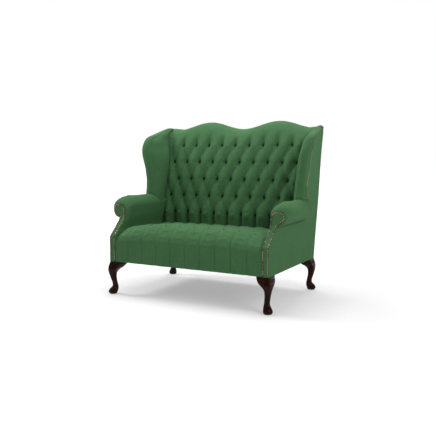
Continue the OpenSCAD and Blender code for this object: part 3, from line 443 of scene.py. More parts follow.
def band(name, outer, inner, sharp=50.0, flip=False):
    """A closed slab between two grids outer[n, m, 3] and inner[n, m, 3], joined round all four borders."""
    rings = np.concatenate([outer, inner[:, ::-1]], 1)
    n, m, _ = rings.shape
    k = np.arange(m // 2 - 1)
    cap = np.stack([k, k + 1, m - 2 - k, m - 1 - k], 1)
    faces = [quads(n, m, close_m=True), cap[:, ::-1], cap + (n - 1) * m]
    return make_mesh(name, rings, faces, sharp, flip)


def turned(profile, sides):
    """Points and faces of (radius, height) pairs turned round +z."""
    profile = np.asarray(profile, float)
    a = np.linspace(0, 2 * np.pi, sides, endpoint=False)
    points = xyz(profile[:, :1] * np.cos(a), profile[:, :1] * np.sin(a), profile[:, 1:])
    return points.reshape(-1, 3), quads(len(profile), sides, close_m=True)


def repeated(name, shape, places, turns):
    """One object with a copy of shape at each of places[k, 3], its z turned along turns[k, 3]."""
    points, faces = shape
    z = unit(turns)
    x = unit(np.cross(np.where(abs(z[:, 2:]) > 0.9, [[0.0, 1, 0]], [[0.0, 0, 1]]), z))
    axes = np.stack([x, np.cross(z, x), z], 1)
    copies = places[:, None, :] + np.einsum("pc,kcd->kpd", points, axes)
    blocks = faces[None] + (np.arange(len(places)) * len(points))[:, None, None]
    return make_mesh(name, copies, [blocks.reshape(-1, 4)], sharp=50)


def dress(obj, slot, *nodes, fill=None, finish=None):
    """Ties a finished piece to the part: its body, the CAD nodes it stands for and its slot. fill, its
    padding, is not used.
    Its finish is the slot's own unless another is named."""
    obj.data.materials.append(material_of(finish or slot))
    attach(obj, "root")
    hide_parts(*nodes)


def mirrored_bands(name, node, grids, s, sharp, flipped, fill=None):
    """Both sides' bands of cover cloth from the right side's outer and inner grid in the maker's frame.
    The flipped side's faces run the other way round. Padded bands settle before they are tied."""
    outer, inner = (placed(grid, s) for grid in grids)
    for side in SIDES:
        obj = band(f"{name}_{side}", mirrored(outer, side), mirrored(inner, side), sharp, side == flipped)
        if fill is not None:
            eased(obj, outer.shape, 0.003)
        dress(obj, "cover_fabric", f"{node}_{side}", fill=fill)


# ---- materials


def toned(tint, shade):
    """A colour times a shade."""
    return tuple(shade * c for c in tint)


class Finish:
    """A node material that is being made round its Principled shader. Its patterns run over Object
    coordinates, so their scales are in waves per metre."""

    def __init__(self, name):
        self.material = bpy.data.materials.new(name)
        self.material.use_nodes = True
        self.nodes, self.links = self.material.node_tree.nodes, self.material.node_tree.links
        self.shader = next(n for n in self.nodes if n.type == "BSDF_PRINCIPLED")
        self.where = self.node("TexCoord").outputs["Object"]

    def fill(self, node, inputs):
        """Gives a node's inputs their values, and links those whose value is a socket."""
        for name, value in inputs.items():
            if isinstance(value, bpy.types.NodeSocket):
                self.links.new(value, node.inputs[name])
            else:
                node.inputs[name].default_value = value

    def node(self, kind, inputs=None, **settings):
        """A new node with its settings and inputs."""
        node = self.nodes.new(f"ShaderNode{kind}")
        for name, value in settings.items():
            setattr(node, name, value)
        self.fill(node, inputs or {})
        return node

    def noise(self, scale, detail=3.0, stretch=(1, 1, 1), rough=0.5):
        """Noise over stretched coordinates."""
        where = self.node("Mapping", {"Scale": stretch, "Vector": self.where}).outputs["Vector"]
        inputs = {"Vector": where, "Scale": scale, "Detail": detail, "Roughness": rough}
        return self.node("TexNoise", inputs).outputs["Fac"]

    def ramp(self, value, *stops):
        """A colour ramp over value with two stops of (position, colour)."""
        node = self.node("ValToRGB", {"Fac": value})
        for element, (position, tint) in zip(node.color_ramp.elements, stops):
            element.position, element.color = position, (*tint, 1)
        return node.outputs["Color"]

    def mix(self, factor, a, b, mode="MIX"):
        """Mix of two colours, each a colour or a socket."""
        a, b = (v if isinstance(v, bpy.types.NodeSocket) else (*v, 1) for v in (a, b))
        return self.node("Mix", {0: factor, 6: a, 7: b}, data_type="RGBA", blend_type=mode).outputs[2]

    def times(self, a, b):
        """Product of two colours."""
        return self.mix(1.0, a, b, "MULTIPLY")

    def done(self, inputs, *bumps):
        """The material with its shader's inputs and with bumps of (height, strength, distance) on top of
        each other."""
        self.fill(self.shader, inputs)
        last = {}
        for height, strength, distance in bumps:
            bump = self.node("Bump", {"Strength": strength, "Distance": distance, "Height": height, **last})
            last = {"Normal": bump.outputs["Normal"]}
        self.fill(self.shader, last)
        return self.material


def felt(name, f, shade=1.0):
    """Felted wool cloth: a base and a nap colour in soft patches with short fibres, bump of the nap."""
    m = Finish(name)
    fibre = m.noise(300.0, 4.0, rough=0.75)
    fleck = m.noise(1500.0, 2.0, stretch=(1, 1, 0.4))
    # A shade below 1 darkens every colour of the cloth as painted shade, as for the back's buttons
    soft = m.ramp(fibre, (0.34, toned(f.cloth, 0.85 * shade)), (0.66, toned(f.cloth_light, shade)))
    wide = m.ramp(m.noise(9.0, 2.0), (0.3, (0.9, 0.92, 0.9)), (0.7, WHITE))
    fine = m.ramp(fleck, (0.3, (0.82, 0.85, 0.82)), (0.65, WHITE))
    inputs = {
        "Base Color": m.times(m.times(soft, wide), fine), "Roughness": 0.92, "Specular IOR Level": 0.12,
        "Sheen Weight": f.sheen, "Sheen Roughness": 0.45, "Sheen Tint": (0.3, 0.8, 0.3, 1),
    }
    return m.done(inputs, (m.noise(38.0), 0.25, 0.002), (fibre, 0.5, 0.0006), (fleck, 0.4, 0.0003))


def polished(name, f):
    """Dark polished wood: streaks of grain that run up the leg under a clear glossy coat."""
    m = Finish(name)
    streak = m.noise(60.0, 5.0, stretch=(1, 1, 0.08), rough=0.6)
    cloud = m.noise(12.0, 2.0)
    grain = m.ramp(streak, (0.42, f.polish), (0.7, f.polish_grain))
    wide = m.ramp(cloud, (0.3, (0.75, 0.72, 0.7)), (0.7, WHITE))
    inputs = {
        "Base Color": m.times(grain, wide), "Roughness": 0.22, "Specular IOR Level": 0.02,
        "Coat Weight": 0.14, "Coat Roughness": 0.07,
    }
    return m.done(inputs, (cloud, 0.15, 0.0008), (streak, 0.06, 0.0002))


def tarnished(name, f):
    """Dull antique brass: tarnish in patches from nail to nail and pits in its roughness; round each head's
    rim, as given by the attribute rim, painted shade darkens the gaps between the nails."""
    m = Finish(name)
    pit = m.noise(900.0)
    worn = m.ramp(m.noise(48.0, 2.0), (0.4, f.nail_dark), (0.56, f.nail))
    rim = m.node("Attribute", attribute_name="rim").outputs["Fac"]
    # painted shade: each head's rim turns near black, standing in for the dark gaps between the nails
    ring = m.ramp(rim, (0.3, WHITE), (0.8, (0.07, 0.06, 0.05)))
    rough = m.ramp(pit, (0.3, toned(WHITE, 0.3)), (0.7, toned(WHITE, 0.48)))
    inputs = {"Base Color": m.times(worn, ring), "Metallic": 1.0, "Roughness": rough}
    return m.done(inputs, (pit, 0.25, 0.0002))


def plain_wood(name, tint, scale=45.0):
    """Unpolished wood: grain lines along x with pores."""
    m = Finish(name)
    grain = m.noise(scale, 5.0, stretch=(0.12, 1, 1), rough=0.6)
    pore = m.noise(600.0, 2.0, stretch=(0.1, 1, 1))
    base = m.ramp(grain, (0.35, toned(tint, 0.72)), (0.65, tint))
    base = m.times(base, m.ramp(pore, (0.3, (0.85, 0.83, 0.8)), (0.6, WHITE)))
    return m.done({"Base Color": base, "Roughness": 0.7}, (grain, 0.15, 0.0005), (pore, 0.3, 0.0002))


def bare_metal(name, tint, rough):
    """Bare steel with fine scratches."""
    m = Finish(name)
    scratch = m.noise(700.0, stretch=(1, 0.1, 1))
    base = m.ramp(scratch, (0.35, toned(tint, 0.8)), (0.65, tint))
    return m.done({"Base Color": base, "Metallic": 1.0, "Roughness": rough}, (scratch, 0.2, 0.0001))


def woven(name, tint, threads=900.0):
    """Plain weave of threads along x and y, with slubs."""
    m = Finish(name)
    inputs = {"Vector": m.where, "Scale": threads / (2 * math.pi), "Distortion": 0.6, "Detail": 1.0}
    x, y = (m.node("TexWave", inputs, bands_direction=way).outputs["Color"] for way in "XY")
    cross = m.mix(0.5, x, y)
    base = m.mix(m.noise(120.0), toned(tint, 0.6), tint)
    base = m.mix(0.5, base, cross, "MULTIPLY")
    return m.done({"Base Color": base, "Roughness": 0.95}, (cross, 0.5, 0.0004))


def material_of(name):
    """The finished material for a slot, made the first time that it is asked for."""
    f = bpy.context.scene.settee_finish
    makers = {
        # button_fabric is the cover cloth at 0.3 of its brightness: painted shade of the deep hollows round
        # the back's buttons
        "cover_fabric": (felt, f), "button_fabric": (felt, f, 0.3), "show_wood": (polished, f),
        "nail_brass": (tarnished, f), "frame_wood": (plain_wood, f.beech),
        "board": (plain_wood, f.board, 130.0), "spring_steel": (bare_metal, f.steel, 0.4),
        "glide_metal": (bare_metal, f.steel, 0.3), "webbing": (woven, f.webbing),
        "dust_cloth": (woven, f.lining, 1400.0),
    }
    maker, *settings = makers[name]
    label = f"{name}_finish"
    return bpy.data.materials.get(label) or maker(label, *settings)


# ---- padded pieces


def spaced(low, high, step):
    """Even points from low to high, about step apart."""
    return np.linspace(low, high, max(2, int(round((high - low) / step)) + 1))


def gathered(low, high, cell, count, even):
    """Points from low to high, count to a cell, drawn together at both ends of each cell by a sine. An
    even line has them all EVEN_STEP apart."""
    cells = int(round((high - low) / cell))
    if even:
        count = int(round(cell / EVEN_STEP))
    t = np.arange(cells * count + 1) / count
    return low + (high - low) / cells * (t - (0 if even else 0.8) / (2 * np.pi) * np.sin(2 * np.pi * t))


def columns(half, s, even):
    """x of the grid's columns on each row: fixed between the outermost buttons, and shared out from there
    to half, which gives the half width of each row. The result is [rows, columns]."""
    inner = s.wide_half
    middle = gathered(-inner, inner, s.button_pitch / 2, 12, even)
    t = np.linspace(0, 1, 6 if even else 13)[1:]
    out = inner + (half[:, None] - inner) * t[None] ** 1.2
    return np.concatenate([-out[:, ::-1], np.repeat(middle[None], len(half), 0), out], 1)


def arm_inner(z, s):
    """x of the arm's inside face at height z."""
    start = s.elbow_h + 0.48 * (s.waist_h - s.elbow_h)
    narrow = np.interp(z, [start, s.waist_h, s.roll_z], [0, 0.7, 1])
    return s.facing_in - s.gap - (s.facing_in - s.roll_x + s.roll_r) * narrow


def back_half(z, s):
    """Half width of the back pad: along the arms, round the rolls and then along the wing's crease."""
    roll = s.roll_x - np.sqrt(np.maximum(0, s.roll_r**2 - (z - s.roll_z) ** 2))
    crease = rising(wing_rows(s, 97)[1])
    wing = np.interp(z, crease[:, 2], crease[:, 0])
    roll = np.minimum(roll, crease[0, 0])
    return np.where(z < s.roll_z, arm_inner(z, s), np.where(z < s.arm_h, roll, wing)) - 4 * s.gap


def button_depth(z, s):
    """Depth of the back's buttons at height z."""
    return lean_of(z, s) - s.back_t * smooth((z - s.seat_h) / (s.overall_h - s.seat_h), BACK_SHARE)


def back_rows(s):
    """Height of the lowest and highest row of back buttons, and the number of rows."""
    first = s.seat_h + s.first_row
    count = int((s.overall_h - first - CREST_MARGIN * s.overall_h) / s.row_pitch) + 1
    return first, first + (count - 1) * s.row_pitch, count


def back_cell(x, z, s):
    """Place in the back's pattern of buttons, across in pitches and up in rows; level past its ends."""
    first, last, _ = back_rows(s)
    return (x - s.wide_half) / s.button_pitch, (z.clip(first, last) - first) / s.row_pitch - 1


def rounded_end(inset, reach):
    """How far an end is rounded off: a quarter of a circle over reach from the end, as a share from 0
    to 1, of each point's distance from the end."""
    return 1 - np.sqrt(1 - 0.98 * np.clip(1 - inset / reach, 0, 1) ** 2)


def back_surface(s, even=False):
    """Rings over the back pad, one loop per column: up the buttoned front, over the crest, down to the
    outside back's top edge and down the flat rear. The front's depth is that of the buttons less the
    tufts' rise. Over the last row t runs from 0 to 1: the folds run straight up and fade out, and the
    front follows a parabola to the crest. Beside the outermost buttons the cloth lies in a plain band."""
    z_first, z_last, _ = back_rows(s)
    low = s.pad_low
    lower = spaced(low, z_first, 0.01 if even else 0.006)[:-1]
    z_front = np.concatenate([lower, gathered(z_first, z_last, s.row_pitch, 26, even)])
    rise = np.linspace(0, 1, 20 if even else 42)[1:]
    t = np.concatenate([0 * z_front, rise])[:, None]
    side_z = np.concatenate([z_front, z_last + (s.corner_h - z_last) * rise])
    climb = 2 * t - t**2
    true_z = np.where(t > 0, z_last + (s.corner_h - z_last) * climb, side_z[:, None])[:, 0]
    x = columns(back_half(np.minimum(true_z, s.corner_h - 0.004), s) + 0.0015 * (t[:, 0] > 0), s, even)
    top = crest(x, s)
    full = s.back_fold + s.back_puff
    lift = soft_floor(tuft(*back_cell(x, side_z[:, None], s), s.back_fold, s.back_puff, 0.55), 0.0015)
    lift += (0.68 * full - lift) * 0.9 * smooth_step((abs(x) - s.wide_half - 0.005) / 0.03)
    lift = 0.8 * full * (1 - t) + (lift - 0.8 * full) * (1 - np.minimum(1, 2.6 * t)) ** 1.5
    inset = abs(x[:, -1:]) - abs(x)
    lift *= 0.92 + 0.08 * np.clip(inset / 0.03, 0, 1)
    lift *= 0.55 + 0.45 * np.clip((side_z[:, None] - low) / (z_first - low), 0, 1)
    y_first = button_depth(np.minimum(side_z, z_last)[:, None], s)
    y_bend = y_first + 0.38 * (top - z_last)
    y_last = lean_of(top, s) - s.crest_pad / 2
    y = (1 - t) ** 2 * y_first + 2 * t * (1 - t) * y_bend + t**2 * y_last - lift
    y += 0.002 * rounded_end(inset, 0.014) * (1 - t)
    z = np.where(t > 0, z_last + (top - z_last) * climb, side_z[:, None])
    front = xyz(x, y, z)
    (x_last, y_last, _), ridge = front[-1].T, top[-1]
    a = np.linspace(0, np.pi / 2, 6 if even else 9)[1:, None]
    reach = lean_of(ridge - s.crest_pad, s) - y_last
    over = xyz(x_last, y_last + reach * np.sin(a), ridge - s.crest_pad * (1 - np.cos(a)))
    inside = s.panel_t + s.post_d + 0.004
    under = xyz(x_last, lean_of(ridge - s.crest_pad, s) - inside, ridge - s.crest_pad)
    foot = xyz(x[0], lean_of(low, s) - inside, low)
    return np.concatenate([front, over, [under, foot]]).transpose(1, 0, 2)


def seat_surface(s, even=False):
    """Rings over the seat pad, one loop per column: up the pleated front border, round the nose, over
    the buttoned top to the back and along the flat underside. The nose is a quarter of an ellipse whose
    depth is sharpened by the power 0.8; folds and pleats stand out along the profile's normal, and the
    whole falls towards both ends and evenly from the first buttons to the back."""
    nose_z = s.seat_h - s.nose_h
    turn = np.linspace(0, np.pi / 2, 20 if even else 40)
    border_z = spaced(s.leg_h + 0.004, nose_z, 0.009 if even else 0.005)[:-1]
    top_y = gathered(s.nose_d, s.nose_d + 4 * s.seat_row_pitch, s.seat_row_pitch, 24, even)[1:]
    y_line = np.concatenate([0 * border_z, s.nose_d * (1 - np.cos(turn)) ** 0.8, top_y])
    z_line = np.concatenate([border_z, nose_z + s.nose_h * np.sin(turn), s.seat_h + 0 * top_y])
    up = np.concatenate([0 * border_z, np.sin(turn), 1 + 0 * top_y])[:, None]
    on_top = np.maximum(0, y_line - s.nose_d)[:, None] / s.seat_row_pitch
    dy, dz = np.gradient(y_line)[:, None], np.gradient(z_line)[:, None]
    run = np.hypot(dy, dz)
    x = columns(np.full(len(y_line), s.seat_half), s, even)
    u = (x - s.wide_half) / s.button_pitch
    calm = 0.7 * (s.seat_fold + s.seat_puff)
    depth = 0.2 + 0.8 * np.clip(on_top / 0.7, 0, 1) ** 1.5
    lift = (0.35 + 0.65 * up) * (calm + depth * (tuft(u, 1 + on_top, s.seat_fold, s.seat_puff) - calm))
    off = abs((u + 1) % 1 - 0.5) * s.button_pitch
    lift -= s.pleat_depth * np.exp(-((off / 0.004) ** 1.2)) * (1 - 0.5 * up) * (on_top <= 0)
    reach = (s.seat_d - s.nose_d) / s.seat_row_pitch
    low_z = s.leg_h + 0.25 * (nose_z - s.leg_h)
    start = smooth_step((z_line - low_z) / (nose_z - low_z))[:, None]
    fall = np.where(up > 0, 0.5 + 0.5 * up, 0.5 * start) * (1 - 0.7 * on_top / reach)
    fall = fall * smooth(abs(x) / s.seat_half, DROP_SHARE) * s.seat_drop + s.seat_rake * on_top / reach
    y = y_line[:, None] + s.seat_inward - dz / run * lift
    z = z_line[:, None] + dy / run * lift - fall - 0.007 * rounded_end(s.seat_half - abs(x), 0.012) * up
    top, low = xyz(x, y, z), s.pad_low
    hem = [xyz(x[0], y[0] + 0.004, s.leg_h), xyz(x[0], y[0] + 0.0008, s.leg_h + 0.0012)]
    rest = [xyz(x[0], *place) for place in ((top_y[-1], low), (s.border_t, low), (s.border_t, s.leg_h))]
    return np.concatenate([hem, top, rest]).transpose(1, 0, 2)


def swell(obj, hold, cap):
    """Lets the cloth settle: Blender's cloth with inside pressure and no gravity, held where hold is
    true, stepped from rest; each point then keeps at most cap of its move and the cloth is taken off.
    Returns the moves."""
    mesh = obj.data
    start, moved = np.empty(len(mesh.vertices) * 3), np.empty(len(mesh.vertices) * 3)
    mesh.vertices.foreach_get("co", start)
    group = obj.vertex_groups.new(name=CLOTH["vertex_group_mass"])
    group.add(np.flatnonzero(hold).tolist(), 1.0, "REPLACE")
    cloth = obj.modifiers.new("settle", "CLOTH")
    for name, value in CLOTH.items():
        setattr(cloth.settings, name, value)
    cloth.settings.effector_weights.gravity = 0
    cloth.collision_settings.use_collision = False
    cloth.point_cache.frame_start, cloth.point_cache.frame_end = 1, CLOTH_FRAMES
    for number in range(1, CLOTH_FRAMES + 1):
        bpy.context.scene.frame_set(number)
    graph = bpy.context.evaluated_depsgraph_get()
    obj.evaluated_get(graph).data.vertices.foreach_get("co", moved)
    shift = (moved - start).reshape(-1, 3)
    size = np.linalg.norm(shift, axis=1, keepdims=True)
    shift *= cap * np.tanh(size / cap) / np.maximum(size, 1e-9)
    obj.modifiers.remove(cloth)
    obj.vertex_groups.remove(group)
    bpy.context.scene.frame_set(1)
    mesh.vertices.foreach_set("co", start + shift.ravel())
    mesh.update()
    return shift


def read_off(values, line, at):
    """Values at the points of a rising line, read off between them at other points."""
    k = np.clip(np.searchsorted(line, at) - 1, 0, len(line) - 2)
    t = np.clip((at - line[k]) / (line[k + 1] - line[k]), 0, 1)[:, None, None]
    return values[k] * (1 - t) + values[k + 1] * t


def settled(surface, hold_of, cap, s):
    """Rings of a buttoned pad with the settling of its cloth: the cloth is worked out on the even grid,
    and its moves are read off there for the fine grid. hold_of gives the held points of a grid of rings
    and a share for each point's move. Columns are matched by their x low on the pad, and rows by their
    length along the middle column, as both grids run along the same profile."""
    fine = surface(s)
    even = surface(s, even=True)
    helper = loft("settling", even)
    hold, part = hold_of(even, s)
    shift = swell(helper, hold, cap).reshape(even.shape) * part[..., None]
    bpy.data.meshes.remove(helper.data)
    along_fine, along_even = (run_length(grid[len(grid) // 2]) for grid in (fine, even))
    shift = read_off(shift, even[:, LOW_POINT, 0], fine[:, LOW_POINT, 0]).transpose(1, 0, 2)
    shift = read_off(shift, along_even / along_even[-1], along_fine / along_fine[-1])
    return fine + shift.transpose(1, 0, 2)


def eased(obj, shape, cap):
    """Lets the outer half of a band settle, with its inner half and its borders held."""
    hold = np.ones((shape[0], 2 * shape[1]), bool)
    hold[2:-2, 2 : shape[1] - 2] = False
    swell(obj, hold, cap)


def back_hold(rings, s):
    """Held points of the back: buttons and folds, the crest's rear, the foot and both ends. The moves
    fade out towards the last row."""
    last, z = back_rows(s)[1], rings[..., 2]
    hold = (tuft(*back_cell(rings[..., 0], z, s), 0.4, 0.6) < 0.62) | (z > last + 0.025)
    hold[:, -8:] = hold[:, :1] = hold[:3] = hold[-3:] = True
    return hold, smooth_step((last + 0.02 - z) / 0.05)


def seat_hold(rings, s):
    """Held points of the seat: buttons and folds, the front's hem, the underside and both ends."""
    u = (rings[..., 0] - s.wide_half) / s.button_pitch
    hold = tuft(u, 1 + np.maximum(0, rings[..., 1] - s.nose_d) / s.seat_row_pitch, 0.4, 0.6) < 0.6
    hold[:, -6:] = hold[:, :4] = hold[:3] = hold[-3:] = True
    return hold, np.ones(hold.shape)


class SETTEE_OT_back_pad(bpy.types.Operator):
    """Make the buttoned back pad with its humped crest."""

    bl_idname = "settee.back_pad"
    bl_label = "Back pad"

    def execute(self, context):
        s = context.scene.settee_sizes
        rings = placed(settled(back_surface, back_hold, 0.006, s), s)
        dress(loft("back_cushion", rings, sharp=75), "cover_fabric", "back_pad", fill=0.85)
        return {"FINISHED"}


class SETTEE_OT_seat_pad(bpy.types.Operator):
    """Make the buttoned seat pad with its pleated front border."""

    bl_idname = "settee.seat_pad"
    bl_label = "Seat pad"

    def execute(self, context):
        s = context.scene.settee_sizes
        rings = placed(settled(seat_surface, seat_hold, 0.003, s), s)
        dress(loft("seat_cushion", rings, sharp=60), "cover_fabric", "seat_pad", fill=0.85)
        return {"FINISHED"}


def arm_outline(roll_z, r, low_x, low_z, crease, s):
    """Outline of an arm section: up the inside face, round the roll and in to the outer crease."""
    a = np.radians(np.linspace(190, -60, ROLL_POINTS))
    roll = np.stack([s.roll_x + r * np.cos(a), roll_z + r * np.sin(a)], 1)
    return np.concatenate([np.column_stack([low_x, low_z]), roll, [crease]])


def arm_sections(s):
    """Front and full outline of the arm, and those of the hollow behind them."""
    low_z = np.concatenate([[s.pad_low], np.linspace(s.elbow_h, s.waist_h + 0.002, LOW_POINTS - 1)])
    cloth, wood = s.facing_in - s.gap + 0 * low_z, s.facing_in + 0.008 + 0 * low_z
    front = s.half_w + s.gap, s.waist_h - 0.1 * s.roll_r
    full = s.half_w - 0.0018, s.waist_h - 0.13 * s.roll_r
    deep = s.half_w - 0.0055, s.waist_h - s.roll_r / 15
    return (
        arm_outline(s.head_z, 1.07 * s.facing_r, cloth, low_z, front, s),
        arm_outline(s.roll_z, s.roll_r, arm_inner(low_z, s), low_z, full, s),
        arm_outline(s.head_z, 0.76 * s.facing_r, wood, low_z, deep, s),
        arm_outline(s.roll_z - 0.27 * s.roll_r, 0.61 * s.roll_r, wood, low_z, deep, s),
    )


def arm_rings(s):
    """Outer and inner grid of an arm pad: a quarter-round swell behind the facing, the straight roll and
    a rear end whose outside closes as a quarter of an ellipse and tucks in behind the outside panel. The
    roll comes up to its full height further back than it comes out to its full width."""
    front, full, block, hollow = arm_sections(s)
    start = facing_depth(front[:, 1], s) + s.facing_t + 3 * s.gap
    rear = s.set_back + s.roll_l
    on_roll = np.arange(len(full)) >= LOW_POINTS
    around = np.concatenate([np.full(LOW_POINTS, 190.0), np.linspace(190, -60, ROLL_POINTS), [-60.0]])
    dome = (0.1 + 0.9 * smooth_step((75 - around) / 55)) * on_roll
    centre = np.array([s.roll_x, s.roll_z])
    close = rear - s.end_l - 0.04
    lead = 0.03 * (1 - np.cos(np.radians(np.clip(around, -60, 75)))) * on_roll
    swollen = np.clip((around + 60) / 50, 0, 1) * np.clip((110 - around) / 80, 0, 1)
    reach = s.bun_l * (1 + 1.3 * np.clip((around - 10) / 60, 0, 1) * np.clip((190 - around) / 40, 0, 1))

    def bulged(y):
        """The full outline with its roll swollen near its front and its rear end."""
        more = s.front_bulge * math.exp(-(((y - start.mean() - 0.03) / 0.13) ** 2))
        more += s.rear_bulge * math.exp(-(((y - close) / 0.05) ** 2))
        return centre + (full - centre) * (1 + more / s.roll_r * swollen[:, None])

    outer, inner = [], []
    for t in np.concatenate([1 - np.cos(np.linspace(0, 1.35, 13)), np.linspace(0.9, 2.5, 9), [3.2]]):
        y = start + t * s.bun_l
        b = np.sqrt(1 - (1 - np.minimum(1, (y - start) / reach)) ** 2)[:, None]
        for grid, a, c in ((outer, front, bulged(y.mean())), (inner, block, hollow)):
            x, z = (a + (c - a) * b).T
            grid.append(xyz(x, y, z))
    for y in np.linspace(start.max() + 3.4 * s.bun_l, close, 7):
        for grid, (x, z) in ((outer, bulged(y).T), (inner, hollow.T)):
            grid.append(xyz(x, y - lead * max(0, 1 - (close - y) / 0.08), z))
    for t in np.concatenate([np.sin(np.linspace(0.08, np.pi / 2, 14)), [1.3, 1.9]]):
        b = 1 - math.sqrt(1 - min(1, t) ** 2)
        y = close + (rear - close) / 1.9 * t
        ends = (outer, bulged(y).T, 0.62, 0.002), (inner, hollow.T, 0.5, 0.006)
        for grid, (x, z), small, behind in ends:
            drawn = z + (small - 1) * (z - centre[1]) * b * dome
            tucked = np.minimum(x, side_surface(y, np.maximum(drawn, s.waist_h), s) - behind)
            ring = xyz(x + (tucked - x) * b * on_roll, 0, drawn)
            ring[-1] = x[-1], 0, z[-1]
            ring[:, 1] = y - lead * max(0, 1 - (y - close) / 0.05)
            grid.append(ring)
    return np.stack(outer), np.stack(inner)


class SETTEE_OT_arm_pads(bpy.types.Operator):
    """Make the two padded arms with their rolls."""

    bl_idname = "settee.arm_pads"
    bl_label = "Arm pads"

    def execute(self, context):
        s = context.scene.settee_sizes
        mirrored_bands("arm_cushion", "arm_pad", arm_rings(s), s, 50, "right", fill=0.9)
        return {"FINISHED"}


def wing_forward(edge):
    """Unit vectors that point out of the wing's edge, level with its outside."""
    _, dy, dz = np.gradient(edge, axis=0).T
    return unit(xyz(0, -dz, dy))


def wing_rings(s):
    """Outer and inner grid of a wing pad. Each row runs round the padded front as half an ellipse and
    over the full inside face to the crease; the lowest row sits on the roll."""
    edge, crease, thick, nose = wing_rows(s, 73)
    ahead = wing_forward(edge)
    a = np.radians(np.linspace(0, 180, 25))
    flat = edge * np.array([0, 1, 1])
    bow = flat[:, None] + ahead[:, None] * (2 * s.gap + nose[:, None] * np.sin(a))[..., None]
    bow[..., 0] = edge[:, None, 0] - thick[:, None] / 2 * (1 - np.cos(a))
    inner_edge = edge - xyz(thick, 0, 0)
    t = np.linspace(0, 1, 19)[1:, None]
    face = inner_edge[:, None] + (crease - inner_edge)[:, None] * t
    face[..., 0] -= 0.021 * np.sin(np.pi * t[:, 0] ** 0.7) * (thick / s.wing_t)[:, None]
    outer = np.concatenate([bow, face], 1)
    back_y = np.maximum(outer[..., 1], (edge[:, 1] + 0.008)[:, None])
    z = np.where(outer[..., 1] < back_y, (flat - ahead * 0.0055)[:, None, 2], outer[..., 2])
    skin = wing_surface(back_y, z, s) - s.panel_t - 2 * s.gap
    x = skin - (s.board_t + 0.001) * (np.arange(outer.shape[1]) >= 3)
    x = np.maximum(x, outer[..., 0] + 0.0008 * (outer[..., 1] > back_y - 1e-6))
    inner = xyz(x, back_y, z)
    for grid in (outer, inner):
        off = grid[0, :, 0] - s.roll_x
        grid[0, :, 2] = s.roll_z + np.sqrt(np.maximum(0, s.roll_r**2 - off**2)) - 0.002
    return outer, inner


class SETTEE_OT_wing_pads(bpy.types.Operator):
    """Make the two padded wings."""

    bl_idname = "settee.wing_pads"
    bl_label = "Wing pads"

    def execute(self, context):
        s = context.scene.settee_sizes
        mirrored_bands("wing_cushion", "wing_pad", wing_rings(s), s, 60, "left", fill=0.9)
        return {"FINISHED"}


# ---- panels and facings


def side_grid(s):
    """Grid over the outside of arm and wing in one piece: full depth under the roll, from behind the
    roll beside it, and from the wing's edge above it."""
    crease = s.waist_h - 0.15 * s.roll_r
    low = np.concatenate([spaced(s.leg_h, s.elbow_h, 0.02)[:-1], spaced(s.elbow_h, crease, 0.006)])
    beside = np.concatenate([[crease + 0.003], spaced(crease + 0.006, s.arm_h - 0.012, 0.012)])
    edge = rising(wing_rows(s, 73)[0])
    edge = np.concatenate([edge[:1] - [0, 0, 0.0095], edge])
    behind_roll = np.full(len(beside), s.set_back + s.roll_l - 0.06)
    y0 = np.concatenate([facing_depth(low, s) + s.facing_t + s.gap, behind_roll, edge[:, 1]])[:, None]
    z0 = np.concatenate([low, beside, edge[:, 2]])[:, None]
    z1 = np.where(z0 < edge[0, 2], z0, np.minimum(z0, s.corner_h - s.crest_pad / 15))
    t = np.linspace(0, 1, 25)
    y = y0 + (lean_of(z1, s) - s.panel_t - 2 * s.gap - y0) * t
    z = z0 + (z1 - z0) * t
    on_wing = np.arange(len(z0))[:, None] >= len(low) + len(beside)
    return xyz(np.where(on_wing, wing_surface(y, z, s), side_surface(y, z, s)), y, z)


class SETTEE_OT_outside(bpy.types.Operator):
    """Make the outside panels of the arms, the wings and the back."""

    bl_idname = "settee.outside"
    bl_label = "Outside panels"

    def execute(self, context):
        s = context.scene.settee_sizes
        grid = side_grid(s)
        grids = grid, grid - np.array([s.panel_t, 0, 0])
        mirrored_bands("outside_panel", "outside_side", grids, s, 50, "left")
        t, w = np.linspace(0, 1, 41)[:, None], np.linspace(-1, 1, 61)
        cap = crest(w * back_half(s.corner_h, s), s) - s.crest_pad - 5 * s.gap
        z = s.leg_h + (cap - s.leg_h) * t
        y = lean_of(z, s) - 0.0012 * np.sin(np.pi * t) * (1 - w**4)
        back = placed(xyz(w * rear_half(z, s), y, z), s)
        obj = band("outside_back_panel", back, back - np.array([0, s.panel_t, 0]))
        dress(obj, "cover_fabric", "outside_back")
        return {"FINISHED"}


def facing_edges(z, s):
    """x of the facing's inner and outer edge at height z."""
    at = (z - s.waist_h) / s.facing_r - 1
    return [
        np.where(z < s.waist_h, low_x, s.roll_x + s.facing_r * smooth(at, HEAD_SHARE, column))
        for low_x, column in ((s.facing_in, 1), (s.half_w, 2))
    ]


def facing_rows(s):
    """Heights of the facing's rows."""
    head = s.waist_h + s.facing_r * (1 + np.array(HEAD_SHARE)[:, 0])
    fine = np.interp(np.linspace(0, len(head) - 1, 41), np.arange(len(head)), head)
    low, lean = spaced(s.leg_h, s.elbow_h, 0.012), spaced(s.elbow_h, s.waist_h - s.gap, 0.005)
    return np.concatenate([low[:-1], lean, fine])


class SETTEE_OT_facings(bpy.types.Operator):
    """Make the facings on the arm fronts, slightly crowned between their nails."""

    bl_idname = "settee.facings"
    bl_label = "Arm facings"

    def execute(self, context):
        s = context.scene.settee_sizes
        z = facing_rows(s)[:, None]
        left, right = facing_edges(z, s)
        t = np.linspace(0, 1, 13)
        x, y = left + (right - left) * t, facing_depth(z, s)
        crown = 0.0016 * np.sin(np.pi * t) ** 0.7 * np.minimum(1, (right - left) / 0.03)
        grids = xyz(x, y - crown, z), xyz(x, y + s.facing_t, z)
        mirrored_bands("facing_panel", "arm_facing", grids, s, 50, "right")
        return {"FINISHED"}


# ---- buttons and nails


